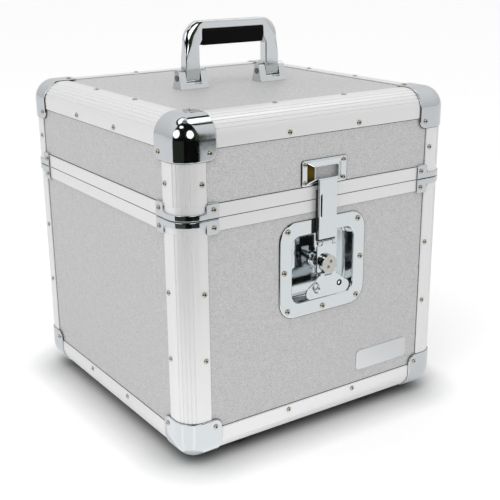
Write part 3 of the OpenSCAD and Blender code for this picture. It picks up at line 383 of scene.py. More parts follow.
def steel(name, colour, low, high, uneven=0.0):
    """Steel with a plating. The shine of a small part varies over 3 mm. That of a pressed sheet varies over
    17 mm, and drawing leaves it slightly uneven, over 9 mm or so."""
    m, t, s = material(name, Metallic=1.0, Base_Color=linear(colour))
    at = node_of(t, "ShaderNodeTexCoord").outputs["Object"]
    size, detail = (60.0, 3.0) if uneven else (330.0, 2.0)
    haze = node_of(t, "ShaderNodeTexNoise", [("Vector", at)], Scale=size, Detail=detail)
    rough = node_of(t, "ShaderNodeMapRange", [("Value", haze.outputs["Fac"])], To_Min=low, To_Max=high)
    t.links.new(rough.outputs["Result"], s.inputs["Roughness"])
    if uneven:
        wave = node_of(t, "ShaderNodeTexNoise", [("Vector", at)], Scale=110.0, Detail=1.0, Roughness=0.4)
        bump = node_of(t, "ShaderNodeBump", [("Height", wave.outputs["Fac"])], Strength=uneven, Distance=0.0004)
        t.links.new(bump.outputs["Normal"], s.inputs["Normal"])
    return m


def turned():
    """Turned steel, plated: its faces are satin from the cutter and warm, its rounds polished."""
    m, t, s = material("turned_plated_steel", Metallic=1.0)
    way = node_of(t, "ShaderNodeSeparateXYZ", [(0, node_of(t, "ShaderNodeTexCoord").outputs["Normal"])])
    facing = node_of(t, "ShaderNodeMath", [(0, way.outputs["Y"]), (1, -0.93)], operation="LESS_THAN")
    colour = node_of(t, "ShaderNodeMix", [("Factor", facing.outputs[0])], data_type="RGBA", A=linear("#c9cccf"),
                     B=linear("#c6c4bd"))
    rough = node_of(t, "ShaderNodeMapRange", [("Value", facing.outputs[0])], To_Min=0.1, To_Max=0.34)
    t.links.new(colour.outputs["Result"], s.inputs["Base Color"])
    t.links.new(rough.outputs["Result"], s.inputs["Roughness"])
    return m


def grained(name, colours, scale, roughness, strength, distance, ior=1.5):
    """Moulded rubber, plastic or foam: two close shades in a grain of that many cells per metre, which also
    lifts the surface."""
    m, t, s = material(name, Roughness=roughness, IOR=ior)
    at = node_of(t, "ShaderNodeTexCoord").outputs["Object"]
    grain = node_of(t, "ShaderNodeTexNoise", [("Vector", at)], Scale=scale, Detail=3.0, Roughness=0.6)
    ramp = node_of(t, "ShaderNodeValToRGB", [("Fac", grain.outputs["Fac"])])
    ramp.color_ramp.elements[0].position, ramp.color_ramp.elements[0].color = 0.35, linear(colours[0])
    ramp.color_ramp.elements[1].position, ramp.color_ramp.elements[1].color = 0.65, linear(colours[1])
    t.links.new(ramp.outputs["Color"], s.inputs["Base Color"])
    bump = node_of(t, "ShaderNodeBump", [("Height", grain.outputs["Fac"])], Strength=strength, Distance=distance)
    t.links.new(bump.outputs["Normal"], s.inputs["Normal"])
    return m


PANEL = laminate()
# Extruded and satin anodised: the clear oxide scatters part of the light, so it is less than fully metallic. The
# lines that the die left are 0.3 mm apart on the real one, drawn at 0.9 mm
ALLOY = lined("satin_anodised_aluminium", "#ececec", 0.4, True, (6.0, 1100.0, 1.0), 2.0, 0.36, 0.5, 0.12)
# Chrome itself returns a little over half of the light; zinc under a blue passivation more
CHROME = steel("bright_chrome_plate", "#c6cacd", 0.06, 0.12, 0.05)
LATCH = steel("blue_passivated_zinc", "#d4d9db", 0.06, 0.12, 0.006)
HANDLE = steel("bright_nickel_chrome", "#d3d6d8", 0.05, 0.11, 0.03)
RIVET = steel("nickel_plated_rivet", "#b9b4a8", 0.14, 0.26)
STUB = steel("phosphated_steel", "#2c2824", 0.4, 0.55)
TURNED = turned()
PIN = steel("oiled_steel_pin", "#77746d", 0.3, 0.45)
ZINC = steel("zinc_plated_steel", "#cfccc2", 0.24, 0.38)
# Sliced polyethylene foam: dull charcoal with open cells of about 1 mm
FOAM = grained("charcoal_foam", ("#1d1d1f", "#343437"), 900.0, 0.95, 0.6, 0.0006)
# Moulded rubber, matt from its mould
RUBBER = grained("black_rubber", ("#121212", "#1b1b1b"), 500.0, 0.7, 0.3, 0.0002, ior=1.52)
# Moulded soft PVC over the handle's bar, satin with a very fine grain
GRIP = grained("black_grip_vinyl", ("#050505", "#0a0a0a"), 700.0, 0.5, 0.25, 0.0001, ior=1.17)
# Dull, nearly black sealant and rubber for the dark sheets and strips put where the case is in shade: painted shadow
SHADE_DARK = grained("painted_shade_dark", ("#171716", "#242422"), 400.0, 0.8, 0.2, 0.0001)
# Brushed sheet: its lines are 0.2 mm apart on the real one, drawn at 0.7 mm
PLATE = lined("brushed_aluminium_sheet", "#cfd1d3", 1.0, False, (25.0, 1400.0, 1400.0), 3.0, 0.3, 0.48, 0.2)

# ---- panels ----

finish(PANEL, "base_floor", "lid_top", *[f"{part}_panel_{side}" for part in ("base", "lid") for side in SIDES])

# ---- edge extrusions ----

def extrusion_section():
    """Outline of an edge extrusion, its unrounded corner at the origin and x and y both inwards. The rounding
    has radius EDGE_R less a half-round groove wherever the arc is within GROOVE_R of a groove's middle. The
    hollow behind the rounding is closed at both ends by the caps, so it is left filled."""
    middles = np.radians(45 + (np.arange(GROOVES) - (GROOVES - 1) / 2) * GROOVE_PITCH)
    near = np.linspace(-1, 1, 9) * GROOVE_R / EDGE_R
    angles = np.unique(np.round(np.concatenate([np.radians(np.linspace(0, 90, 31)),
                                                (middles[:, None] + near).ravel()]), 6))
    off = np.abs(angles[:, None] - middles).min(1) * EDGE_R
    r = EDGE_R - np.sqrt(np.clip(GROOVE_R ** 2 - off ** 2, 0, None))
    arc = np.stack([EDGE_R - r * np.sin(angles), EDGE_R - r * np.cos(angles)], -1)
    low = np.array([(EDGE_R, SKIN), (EDGE_R, PANEL_IN), (INNER_LEG, PANEL_IN), (INNER_LEG, ANGLE_IN)])
    tip = np.array([(EDGE_LEG - 1.1, 0), (EDGE_LEG - 0.55, 0.1), (EDGE_LEG - 0.15, 0.45), (EDGE_LEG, 1.0),
                    (EDGE_LEG, SKIN)])
    outline = np.concatenate([tip[::-1], arc, tip[:, ::-1], low[:, ::-1], [(ANGLE_IN, ANGLE_IN)], low[::-1]])
    return softened(outline, 0.3)


def bar(section, low, high):
    """The section's outline at z = low and z = high, joined."""
    return lofted([raised(section, z) for z in (low, high)])


SECTION = extrusion_section()
UPRIGHT_BASE = bar(SECTION, Z_UNDER + BAR_END, Z_BASE_RIM - BASE_RIM_H)
UPRIGHT_LID = bar(SECTION, Z_LID_RIM + LID_RIM_H, Z_TOP - BAR_END)
LEVEL = moved(bar(SECTION, BAR_END - HALF, HALF - BAR_END), shift(y=-HALF) @ turn(90, "Z") @ turn(90, "X"))
for where, (sx, sy) in CORNERS.items():
    for body, upright in (("base", UPRIGHT_BASE), ("lid", UPRIGHT_LID)):
        piece(f"upright_{body}_{where}", moved(upright, at_corner(sx, sy)), ALLOY, body,
              [f"{body}_column_{where}"], sharp=25)
for k, side in enumerate(SIDES):
    for body, place in STAND.items():
        piece(f"level_{body}_{side}", moved(LEVEL, place @ turn(90 * k, "Z")), ALLOY, body,
              [f"{body}_edge_{side}"], sharp=25)

# ---- seam rims ----

def rim_bar(section):
    """A rim's bar on the front: its section (distance in from the face, height) carried along the side and,
    at both ends, round half of the corner's arc, whose radius for a point is EDGE_R less its distance in."""
    inwards, up = section[:, 0], section[:, 1]
    a = np.radians(np.concatenate([np.linspace(44.8, 0, 7), np.linspace(0, 44.8, 7)]))[:, None]
    hand = np.repeat([-1.0, 1.0], 7)[:, None]
    x = hand * (HALF - EDGE_R + (EDGE_R - inwards) * np.sin(a))
    y = -HALF + EDGE_R - (EDGE_R - inwards) * np.cos(a)
    return lofted(np.stack([x, y, up + 0 * x], -1))


T0, T1 = TONGUE_AT - TONGUE_W / 2, TONGUE_AT + TONGUE_W / 2
S0, S1 = T0 - TONGUE_PLAY, T1 + TONGUE_PLAY
WEB = TONGUE_H + TONGUE_PLAY + SKIN
BASE_SECTION = softened([(0, -BASE_RIM_H), (0, 0), (T0, 0), (T0, TONGUE_H), (T1, TONGUE_H), (T1, 0), (ANGLE_IN, 0),
                         (ANGLE_IN, -BASE_RIM_H), (PANEL_IN, -BASE_RIM_H), (PANEL_IN, -SKIN), (SKIN, -SKIN),
                         (SKIN, -BASE_RIM_H)], 0.35)
LID_SECTION = softened([(0, LID_RIM_H), (0, 0), (S0, 0), (S0, TONGUE_H + TONGUE_PLAY),
                        (S1, TONGUE_H + TONGUE_PLAY), (S1, 0), (ANGLE_IN, 0), (ANGLE_IN, LID_RIM_H),
                        (PANEL_IN, LID_RIM_H), (PANEL_IN, WEB), (SKIN, WEB), (SKIN, LID_RIM_H)], 0.35)
for name, body, section, z in (("base_rim", "base", BASE_SECTION, Z_BASE_RIM),
                               ("lid_rim", "lid", LID_SECTION, Z_LID_RIM)):
    bars = same_at(rim_bar(section), [turn(90 * k, "Z") @ shift(z=z) for k in range(4)])
    piece(f"{name}_bars", bars, ALLOY, body, [name], sharp=25)

# ---- corner caps ----

def corner_cap(grown=0.0, thick=CAP_T):
    """Pressed cap with its unrounded corner at the origin. Each of three flat grids (x, y) has its far corner
    turned to a quarter disc by x' = x sqrt(1 - y^2 / 2), y' = y sqrt(1 - x^2 / 2), and is then wrapped round
    the ball corner: a point goes to its nearest place on the cube that starts EDGE_R in, and from there out
    by EDGE_R and the metal's thickness, which rolls off to nothing at the cap's edge. A grown one is larger."""
    reach, corner = CAP_REACH + grown, CAP_CORNER + grown
    line = np.concatenate([np.linspace(0, EDGE_R, 13), np.linspace(EDGE_R, reach - 2.4, 9)[1:],
                           reach - np.array([1.8, 1.3, 0.9, 0.55, 0.3, 0.1, 0.0])])
    x, y = np.meshgrid(line, line, indexing="ij")
    c = reach - corner
    s, t = np.clip((x - c) / corner, 0, 1), np.clip((y - c) / corner, 0, 1)
    both = (s > 0) & (t > 0)
    x = np.where(both, c + corner * s * np.sqrt(1 - t ** 2 / 2), x)
    y = np.where(both, c + corner * t * np.sqrt(1 - s ** 2 / 2), y)
    qx, qy = x - c, y - c
    edge = corner - np.hypot(np.maximum(qx, 0), np.maximum(qy, 0)) - np.minimum(np.maximum(qx, qy), 0)
    faces = []
    for thickness in (roll(edge, min(1.1, thick), thick), 0 * edge):
        core = np.stack([np.maximum(x, EDGE_R), np.maximum(y, EDGE_R), np.full_like(x, EDGE_R)], -1)
        out = np.stack([np.minimum(x - EDGE_R, 0), np.minimum(y - EDGE_R, 0), np.full_like(x, -EDGE_R)], -1)
        out /= np.linalg.norm(out, axis=-1, keepdims=True)
        faces.append(lofted(core + out * (EDGE_R + thickness)[..., None], tube=False))
    shell = merged(faces[0], flipped(faces[1]))
    return outward(welded(same_at(shell, THREE_WAYS)))


CAP = corner_cap()
for where, (sx, sy) in CORNERS.items():
    piece(f"cap_base_{where}", moved(CAP, STAND["base"] @ at_corner(sx, sy)), CHROME, "base",
          [f"base_corner_{where}"], sharp=50)
for where, sy in (("front", -1), ("back", 1)):
    two = same_at(CAP, [FROM_TOP @ at_corner(sx, sy) for sx in (-1, 1)])
    piece(f"caps_lid_{where}", two, CHROME, "lid", [f"lid_corners_{where}"], sharp=50)

# Painted shadow: dark sealant, 0.4 mm wider than the caps, shows round them where their contact shadow falls
for body, place in STAND.items():
    shade_piece(f"cap_shadow_lines_{body}", at_corners(corner_cap(0.4, 0.25), place), body)

# ---- seam braces ----

def brace():
    """Brace round an upright edge, growing up from z = 0. Along the developed length s, from the middle of the
    rounding, its height is a band, then a hollow fillet, then a tab with two rounded corners. Its thickness
    rolls off to nothing at every edge, and the strip is bent round the arc of radius EDGE_R."""
    bend = EDGE_R * math.pi / 4
    end = bend + BRACE_REACH - EDGE_R
    tab = end - BRACE_TAB
    near = np.array([0, 0.1, 0.3, 0.6, 0.9, 1.2])
    r = BRACE_R
    turn_in = r * (1 - np.cos(np.linspace(0, np.pi / 2, 6)))
    half = np.unique(np.round(np.concatenate([
        np.linspace(0, bend, 9), np.linspace(bend, tab - r, 3), tab - r + r * np.sin(np.linspace(0, np.pi / 2, 6)),
        tab + 0.02 + near, tab + turn_in, np.linspace(tab + r, end - r, 5), end - turn_in, end - near]), 4))
    fillet = BRACE_BAND + r - np.sqrt(np.clip(r ** 2 - np.clip(half - tab + r, 0, r) ** 2, 0, None))
    from_edge = np.minimum(half - tab, end - half)
    crown = BRACE_H - r + np.sqrt(np.clip(r ** 2 - np.clip(r - from_edge, 0, r) ** 2, 0, None))
    high = np.where(half > tab, crown, fillet)
    s = np.concatenate([-half[:0:-1], half])
    high = np.concatenate([high[:0:-1], high])[:, None]
    t = np.concatenate([[0, 0.02, 0.05, 0.09], np.linspace(0.15, 0.85, 8), [0.91, 0.95, 0.98, 1]])
    z = high * t
    out = np.abs(s)[:, None] + 0 * z
    edge = np.minimum(np.minimum(z, high - z), end - out)
    edge = np.minimum(edge, np.where((z > BRACE_BAND) & (out > tab), out - tab, 99))
    faces = []
    for thickness in (roll(edge, 0.8, BRACE_T), 0 * edge):
        a = np.clip(out, 0, bend) / EDGE_R
        along = (EDGE_R + thickness) * np.sin(a) + np.maximum(out - bend, 0) * math.cos(math.pi / 4)
        away = (EDGE_R + thickness) * np.cos(a) - np.maximum(out - bend, 0) * math.sin(math.pi / 4)
        faces.append(lofted(np.stack([np.sign(s)[:, None] * along, -away, z], -1), tube=False))
    shell = welded(merged(faces[0], flipped(faces[1])))
    return outward(moved(shell, shift(EDGE_R, EDGE_R) @ turn(-45, "Z")))


BRACE = brace()
for body, place in (("lid", shift(z=Z_LID_RIM)), ("base", shift(z=Z_BASE_RIM) @ scale(1, 1, -1))):
    piece(f"seam_braces_{body}", at_corners(BRACE, place), CHROME, body, [f"{body}_braces"], sharp=50)

# ---- rivets ----

# Head of a pop rivet 6 mm wide: a low dome, open in the middle where the mandrel broke off
HEAD = revolved([(0, 0), (2.9, 0), (3.0, 0.15), (2.95, 0.42), (2.6, 0.86), (2.1, 1.18), (1.65, 1.36), (1.35, 1.4),
                 (1.12, 1.32), (1.02, 1.1), (0.95, 0.2), (0.4, 0.12), (0, 0.1)], 20)
# What is left of the mandrel in it
STEM = revolved([(0, 0.1), (1.1, 0.1), (1.1, 0.6), (0.7, 0.85), (0, 0.9)], 12)


def pair(k, x, z, out=0.0):
    """Two places on side k, mirrored about its middle."""
    return [on_side(k) @ shift(s * x, z, out) for s in (-1, 1)]


def cap_heads():
    """Places of a cap's three rivets about its unrounded corner, as far along both edges of each face."""
    return [way @ shift(CAP_RIVET, CAP_RIVET, -CAP_T) @ scale(1, 1, -1) for way in THREE_WAYS]


def level_heads(up):
    """Places of the rivets in the level flanges, on the underside or on the top."""
    z, face = (Z_TOP, 1) if up else (Z_UNDER, -1)
    return [turn(90 * k, "Z") @ shift(s * RIVET_X, FLANGE_RIVET - HALF, z) @ scale(1, 1, face)
            for k in range(4) for s in (-1, 1)]


hinge_places = [on_side(2) @ shift(x * HINGE_X + i, Z_SEAM, 0.2) for x in (-1, 1) for i in HINGE_RIVETS]
dish_face = on_side(0) @ shift(0, Z_DISH, DISH_FACE)
dish_places = [dish_face @ shift(x, z) @ scale(7 / 6, 7 / 6, 1)
               for x, z in [(-47, -44), (47, -44), (-47, 44), (47, 44), (-51.5, 0), (51.5, 0), (0, -47)]]
keeper_places = [on_side(0) @ shift(x, Z_KEEPER + z, DISH_FACE) @ scale(5 / 6, 5 / 6, 1)
                 for x in (-25.6, 25.6) for z in (-9.6, 9.6)]
places = {"base": [m @ shift(y=-HINGE_LEAF) for m in hinge_places] + dish_places + level_heads(False),
          "lid": [m @ shift(y=HINGE_LEAF) for m in hinge_places] + keeper_places + level_heads(True)}
upright_x, (brace_x, brace_z) = HALF - FLANGE_RIVET, BRACE_RIVET
for k in range(4):
    for z in (111, 182.5):
        places["base"] += pair(k, upright_x, Z_UNDER + z)
    places["base"] += pair(k, RIVET_X, Z_UNDER + FLANGE_RIVET) + pair(k, brace_x, Z_SEAM - brace_z, BRACE_T)
    places["lid"] += pair(k, upright_x, Z_SEAM + 35.4) + pair(k, RIVET_X, Z_TOP - FLANGE_RIVET)
    places["lid"] += pair(k, brace_x, Z_SEAM + brace_z, BRACE_T)
for body, spots in places.items():
    spots += [STAND[body] @ at_corner(sx, sy) @ m for sx, sy in CORNERS.values() for m in cap_heads()]
    piece(f"mandrel_stubs_{body}", same_at(STEM, spots), STUB, body)
for body, spots in places.items():
    piece(f"rivet_heads_{body}", same_at(HEAD, spots), RIVET, body, [f"{body}_rivets"], sharp=40)

# ---- foam lining ----

def sheet(a, b, thick, hole=None):
    """Foam sheet of half sizes a and b, its edges rounded by a quarter of a circle of 1 mm on both faces. A
    hole, (half width, half height, radius, centre y), is closed by the same rounding."""
    q = quarter(4)
    outer = [(a - 1 + s, b - 1 + s, 2.5 + s, thick - c, 0) for s, c in q]
    back = [(a - 1 + s, b - 1 + s, 2.5 + s, c, 0) for s, c in q[::-1]]
    if hole is None:
        return pressed([(a / 2, b / 2, 2.5, thick, 0)] + outer + back + [(a / 2, b / 2, 2.5, 0, 0)], loop=False)
    w, h, r, y = hole
    inner = [(w + 1 - s, h + 1 - s, r + 1 - s, c, y) for s, c in q]
    front = [(w + 1 - s, h + 1 - s, r + 1 - s, thick - c, y) for s, c in q[::-1]]
    return pressed(outer + back + inner + front)


def lining(low, high, level_z, hole):
    """Four upright sheets behind the side panels and a level one on the floor or under the top."""
    half = HALF - INNER_LEG - 0.5
    middle, tall = (low + high) / 2, (high - low) / 2
    sheets = [moved(sheet(half, tall, 3, hole if k == 0 else None), on_side(k) @ shift(0, middle, -PANEL_IN - 3))
              for k in range(4)]
    return merged(*sheets, moved(sheet(half, half, 3), shift(z=level_z)))


base_middle = (Z_UNDER + 28.5 + Z_BASE_RIM - BASE_RIM_H - 0.5) / 2
foam_base = piece("foam_base", lining(Z_UNDER + 28.5, Z_BASE_RIM - BASE_RIM_H - 0.5, Z_UNDER + PANEL_IN,
                                      (43.5, 39.3, 12.5, Z_DISH - base_middle)),
                  FOAM, "base", ["base_lining"], sharp=50)
foam_lid = piece("foam_lid", lining(Z_LID_RIM + LID_RIM_H + 0.5, Z_TOP - 28.5, Z_TOP - PANEL_IN - 3, None),
                 FOAM, "lid", ["lid_lining"], sharp=50)

# ---- latch dish ----

def dish():
    """Pressed dish: the flange's edge turns over, the mouth and the floor's corner are rounded by quarter
    circles, the wall leans in by 1 mm, a boss rises round the spindle, and the back follows 1.5 mm behind."""
    t, q, (a, b, r), mouth, foot, bend = 1.5, quarter(6), MOUTH, 1.4, 2.6, 4.5
    low, up = -DISH_DEPTH, SPINDLE_UP
    lip = [(a + mouth - mouth * s, b + mouth - mouth * s, r + mouth - mouth * s, -mouth * c, 0) for s, c in q]
    floor = [(a - 1 - foot * c, b - 1 - foot * c, r - 1 - foot * c, low + foot * (1 - s), 0) for s, c in q]
    boss = [(34, 29.8, 6, low, 0)] + [(w, w, w - round_by, z, up) for w, round_by, z in (
        (14, 0.1, low), (11, 0.1, low), (9.6, 0.1, -13.6), (8.9, 0.1, -12.6), (8.5, 0.1, -8.2), (8.1, 0.1, -7.3),
        (7.4, 0.1, -7), (4.3, 0.05, -7), (4.08, 0.03, -7.3), (4.08, 0.03, low - t))]
    w, h, k = a + t - bend, b + t - bend, r + t - bend
    behind = [(w + bend * s, h + bend * s, k + bend * s, low - t + bend * c, 0) for s, c in q[1:]]
    return pressed(hem(DISH, 1.2, q) + [(55, 50.5, 16.5, 0, 0), (44, 39.8, 11.5, 0, 0)] + lip + floor + boss
                   + behind + [(a + t, b + t, r + t, -t, 0), (*DISH, -t, 0)], steps=10)


piece("pressed_dish", moved(dish(), on_side(0) @ shift(0, Z_DISH, DISH_FACE)), LATCH, "base", ["latch_dish"],
      sharp=40)

# ---- keeper ----

def keeper_plate():
    """Sheet whose middle is pressed out to an open slot: rounded rectangles from the sheet's edge over its
    face, up the slope to the slot's rim, through the slot, and back under the hollow slope to the edge."""
    slope = [(23, 12, 2.0, 0, 0), (22.5, 11.5, 1.7, 0.1, 0), (22, 11.1, 1.5, 0.45, 0), (17, 7.9, 1.2, 3.45, 0),
             (16.6, 7.6, 1.1, 3.75, 0), (16.2, 7.2, 1.0, 3.88, 0), (15.3, 6.5, 0.9, 3.88, 0), (15, 6.2, 0.8, 3.6, 0)]
    under = [(15, 6.2, 0.8, 2.8, 0), (15.9, 6.9, 1.0, 2.6, 0), (21.4, 10.4, 1.4, -0.7, 0), (22.6, 11.6, 1.8, -1.5, 0)]
    return pressed(hem(KEEPER, 1.1, quarter(5)) + slope + under + [(*KEEPER, -1.5, 0)], steps=6)


piece("keeper_plate", moved(keeper_plate(), on_side(0) @ shift(0, Z_KEEPER, DISH_FACE)), LATCH, "lid", ["keeper"],
      sharp=40)


# ---- draw bar ----

def draw_bar():
    """Bar of 2 mm plate, its section (x, out) flat with broken edges. It runs up from its foot and turns in at
    the top by a quarter circle. Two ribs stand on its face."""
    top, z_low, z_bend, z_foot = BAR_OUT + 2, 223.8, 287.2, 219
    half = np.array([(11.2, top), (11.75, 6.4), (12, 5.8), (12, 5.0), (11.9, 4.7), (11.6, 4.5), (10.4, 4.5)])
    bare = np.array([(11.2, top), (11.75, 6.4), (12, 5.8), (12, 5.2), (11.9, 4.8), (11.6, BAR_OUT), (10.4, BAR_OUT)])
    half, bare = [np.concatenate([h, h[::-1] * (-1, 1)]) for h in (half, bare)]
    rings = [raised(half, z) for z in (z_low, z_low + 0.5, 250, 277.4)] + [raised(bare, 278.4), raised(bare, z_bend)]
    lift = bare[:, 1] - BAR_OUT
    rings += [np.column_stack([bare[:, 0], BAR_OUT + lift * math.cos(a), z_bend + lift * math.sin(a)])
              for a in np.radians(np.linspace(15, 90, 6))]
    foot = revolved([(0, 0), (1.6, 0), (2, 0.4), (2, 4.6), (1.6, 5), (0, 5)], 20)
    feet = [moved(foot, shift(x, BAR_OUT, z_foot) @ turn(90, "Y")) for x in (-12, 7)]
    tabs = [lofted([[(x, 2.9, z), (x + 5, 2.9, z), (x + 5, 4.45, z), (x, 4.45, z)] for z in (219.2, 223.2)])
            for x in (-12, 7)]
    ribs = [moved(pressed([(w, 13, w, -0.2, 0), (w, 12.98, w, 0, 0), (w * 0.3, 12.4, w * 0.3, h, 0),
                           (0.05, 12.2, 0.05, h * 1.05, 0)], loop=False, steps=5),
                  shift(x, top, 260.1) @ turn(90, "X") @ scale(1, 1, -1))
            for x, w, h in ((-8.1, 1.9, 0.7), (8.3, 1.2, 0.1))]
    return merged(lofted(rings), *feet, *tabs, *ribs)


piece("draw_bar", moved(draw_bar(), shift(y=-HALF) @ scale(1, -1, 1)), LATCH, "bar", ["latch_bar"],
      sharp=28)

# ---- dark strips behind the latch's moving sheets, which stand in for the shade there: painted shadow ----

def strip(a, b, low, high, x, z):
    """Flat strip of half sizes a and b, between two distances out of the face."""
    t = high - low
    flat = [(a / 2, b / 2, 0.3, 0, 0), (a, b, 0.8, 0, 0), (a, b, 0.8, t, 0), (a / 2, b / 2, 0.3, t, 0)]
    return moved(pressed(flat, loop=False), on_side(0) @ shift(x, z, low))


# One under the bar, three behind the link, beside and above its slot, and one behind the wing's free end: dark
# painted shadow showing at their edges and through the gaps
shade_piece("bar_shade_strip", strip(11.85, 27.6, 0.9, 4.55, 0, 249), "bar")
shade_piece("link_shade_strips", merged(*[strip(a, b, 3.67, 4.02, x, z) for a, b, x, z in (
    (3.7, 11, 8.9, 194), (1.25, 11, -6.45, 194), (10.15, 5.5, 2.45, 210.5))]), "link")
outline = softened([(-26.5, 162), (11, 162), (11, 169.5), (-23, 169.5), (-26.5, 167)], 2)
shade_piece("wing_shadow_sheet", moved(bar(outline, 6.4, 6.85), shift(y=-HALF) @ turn(90, "X")), "wing")

# ---- padlock eye ----

def wire(path, r):
    """Round wire along a path in the plane x = 0: each ring lies in the plane of X and the path's normal, and
    both ends are closed."""
    path = np.asarray(path, float)
    d = np.gradient(path, axis=0)
    d /= np.linalg.norm(d, axis=1, keepdims=True)
    a = np.arange(10) * np.pi / 5
    y = path[:, :1] - d[:, 1:] * r * np.sin(a)
    z = path[:, 1:] + d[:, :1] * r * np.sin(a)
    return lofted(np.stack([r * np.cos(a) + 0 * y, y, z], -1))


WING_HOLE_X, Z_WING_HOLES, WING_FACE = 15.6, 171.5, 8.4
t = np.linspace(-np.pi / 2, np.pi / 2, 17)
path = np.column_stack([0.2 - WING_FACE - 5.4 * np.cos(t), 5.6 * np.sin(t)])
path = np.concatenate([[(-6.9, -5.6)], path, [(-6.9, 5.6)]])
piece("padlock_eye", moved(wire(path, 1.15), shift(-WING_HOLE_X, -HALF, Z_WING_HOLES)), LATCH, "wing", ["latch_eye"],
      sharp=60)

# Eyelet in the wing's other hole: half an ellipse turned about the hole, 0.5 mm high
rim = [(2.65 - 0.85 * math.cos(v), 0.5 * math.sin(v)) for v in np.linspace(0, np.pi, 9)] + [(3.5, -0.3), (1.8, -0.3)]
rim = lofted([[(r * math.cos(v), r * math.sin(v), z) for r, z in rim] for v in np.arange(24) * np.pi / 12], loop=True)
piece("wing_eyelet", moved(rim, on_side(0) @ shift(WING_HOLE_X, Z_WING_HOLES, WING_FACE)), STUB, "wing",
      sharp=50)

# ---- latch, hinges and handle ----

def wide_knob(points):
    """The knob's rim, 8.5 mm from the spindle's axis, is carried out to 9.9 mm, and its two holes, of radius
    1.3 mm about middles 3.2 mm from the axis, grow to 1.7 mm."""
    x, z = points[:, 0] / MM, points[:, 2] / MM - Z_DISH - SPINDLE_UP
    grown = np.where(np.abs(np.hypot(x, z) - 8.5) < 0.06, 9.9 / 8.5, 1.0)
    x, z = x * grown, z * grown
    for u, v in ((1.6, 2.77), (-1.6, -2.77)):
        hole = np.where(np.abs(np.hypot(x - u, z - v) - 1.3) < 0.06, 1.3, 1.0)
        x, z = u + (x - u) * hole, v + (z - v) * hole
    return np.column_stack([x * MM, points[:, 1], (z + Z_DISH + SPINDLE_UP) * MM])


def short_wing(points):
    """The wing's free end, with its holes, is carried 1.3 mm towards its hinge."""
    return points + np.where(points[:, 2:] < 0.176, (0, 0, 0.0013), (0, 0, 0))


dressed("latch_spindle", TURNED, "spindle", 0.45, reshape=wide_knob)
dressed("latch_wing", LATCH, "wing", 0.35, reshape=short_wing)
for node, surface, body, slot, bevel in (
        ("latch_link", LATCH, "link", "chrome", 0.3), ("hinge_base_leaves", CHROME, "base", "chrome", 0.3),
        ("hinge_lid_leaves", CHROME, "lid", "chrome", 0.3), ("hinge_pins", ZINC, "base", "pin_steel", 0.3),
        ("handle_brackets", HANDLE, "lid", "chrome", 0.5), ("handle_pins", PIN, "lid", "pin_steel", 0.2),
        ("plain_plate", PLATE, "base", "plate", 0.25), ("feet", RUBBER, "base", "foot_rubber", 0.5)):
    dressed(node, surface, body, bevel)
finish(ZINC, "foot_screws", "latch_wing_pin", "latch_bar_pin")

# ---- handle frame ----

def handle():
    """Bent flat bar. Stations give its outer and its inner point in the plane of X and Z; the section between
    them is 12 mm deep, with rounded edges whose outer ones widen to 9 mm round the bends, and its foot is
    turned round the pivot."""
    beta = np.radians([86, 72, 54, 36, 18, 0])
    foot = np.column_stack([np.full(6, -63), 377 - 6 * np.sin(beta), np.full(6, -45), 377 - 6 * np.sin(beta)])
    leg = np.array([(-63, z, -45, z) for z in (384, 391, 397, 402.5, 408)])
    th = np.radians([0, 8, 16, 24, 32, 40, 48, 56, 64, 72, 80, 90])
    inner = np.array([(-43, 414.6), (-41.8, 416.4), (-41, 417.6), (-41, 419), (-41, 420.4), (-41, 421.8),
                      (-41, 423.2), (-41, 424.6), (-41, 426), (-41, 427.4), (-41, 428.6), (-41, 429.55)])
    bend = np.column_stack([-41 - 22 * np.cos(th), 416.6 + 22 * np.sin(th), inner])
    bar = np.array([(x, 438.6, x, 429.55) for x in (-39, -34, -24, -12, 0)])
    left = np.concatenate([foot, leg, [(-63, 412.4, -45, 411.6)], bend, bar])
    deep = np.concatenate([6 * np.cos(beta), np.full(len(left) - 6, 6.0)])
    soft = np.concatenate([np.full(8, 0.8), [1.0, 3.0, 5.6, 7.4], [8.6, 9.2, 9.5, 9.6, 9.6, 9.4, 8.8, 7.8, 6.4, 5.0,
                           3.6, 2.6], [2.4, 2.4, 2.4, 2.4, 2.4]])
    back = left[-2::-1] * (-1, 1, -1, 1)
    line = np.concatenate([left, back])
    deep, soft = (np.concatenate([v, v[-2::-1]]) for v in (deep, soft))
    wide = np.hypot(line[:, 2] - line[:, 0], line[:, 3] - line[:, 1])
    drop = np.minimum(soft * 0.6 + 0.2, 5.2)
    q = quarter(7)
    s, c = q[:, 0], q[:, 1]
    at = np.concatenate([soft[:, None] * c, wide[:, None] - np.full((1, 7), 1.2) * c[::-1]], 1)
    y = np.concatenate([deep[:, None] - drop[:, None] * (1 - s) * (deep / 6)[:, None],
                        deep[:, None] - 1.2 * (1 - s[::-1]) * (deep / 6)[:, None]], 1)
    at = np.concatenate([at, at[:, ::-1]], 1)
    y = np.concatenate([-y, y[:, ::-1]], 1)
    share = at / wide[:, None]
    x = line[:, :1] + (line[:, 2:3] - line[:, :1]) * share
    z = line[:, 1:2] + (line[:, 3:] - line[:, 1:2]) * share
    return lofted(np.stack([x, y, z], -1))


piece("handle_bow", handle(), HANDLE, "handle", ["handle_frame"], sharp=50)

# ---- grip ----

def grip():
    """Soft grip under the handle's bar: rounded rectangles of depth 14 mm and height 17.95 mm along x, drawn in
    over the last 2 mm at both ends."""
    x = np.concatenate([[-40.95, -40.9, -40.6, -40.1, -39.4], np.linspace(-38.2, 38.2, 17),
                        [39.4, 40.1, 40.6, 40.9, 40.95]])
    inset = 1.6 * (1 - np.sqrt(np.clip(1 - np.clip((np.abs(x) - 38.95) / 2, 0, 1) ** 2, 0, 1)))
    rings = []
    for at, d in zip(x, inset):
        flat = rounded_rect(7 - d, 8.97 - d, 3.2 - d * 0.6, 7)
        rings.append(np.column_stack([np.full(len(flat), at), flat[:, 0], flat[:, 1] + 420.57]))
    return lofted(rings)


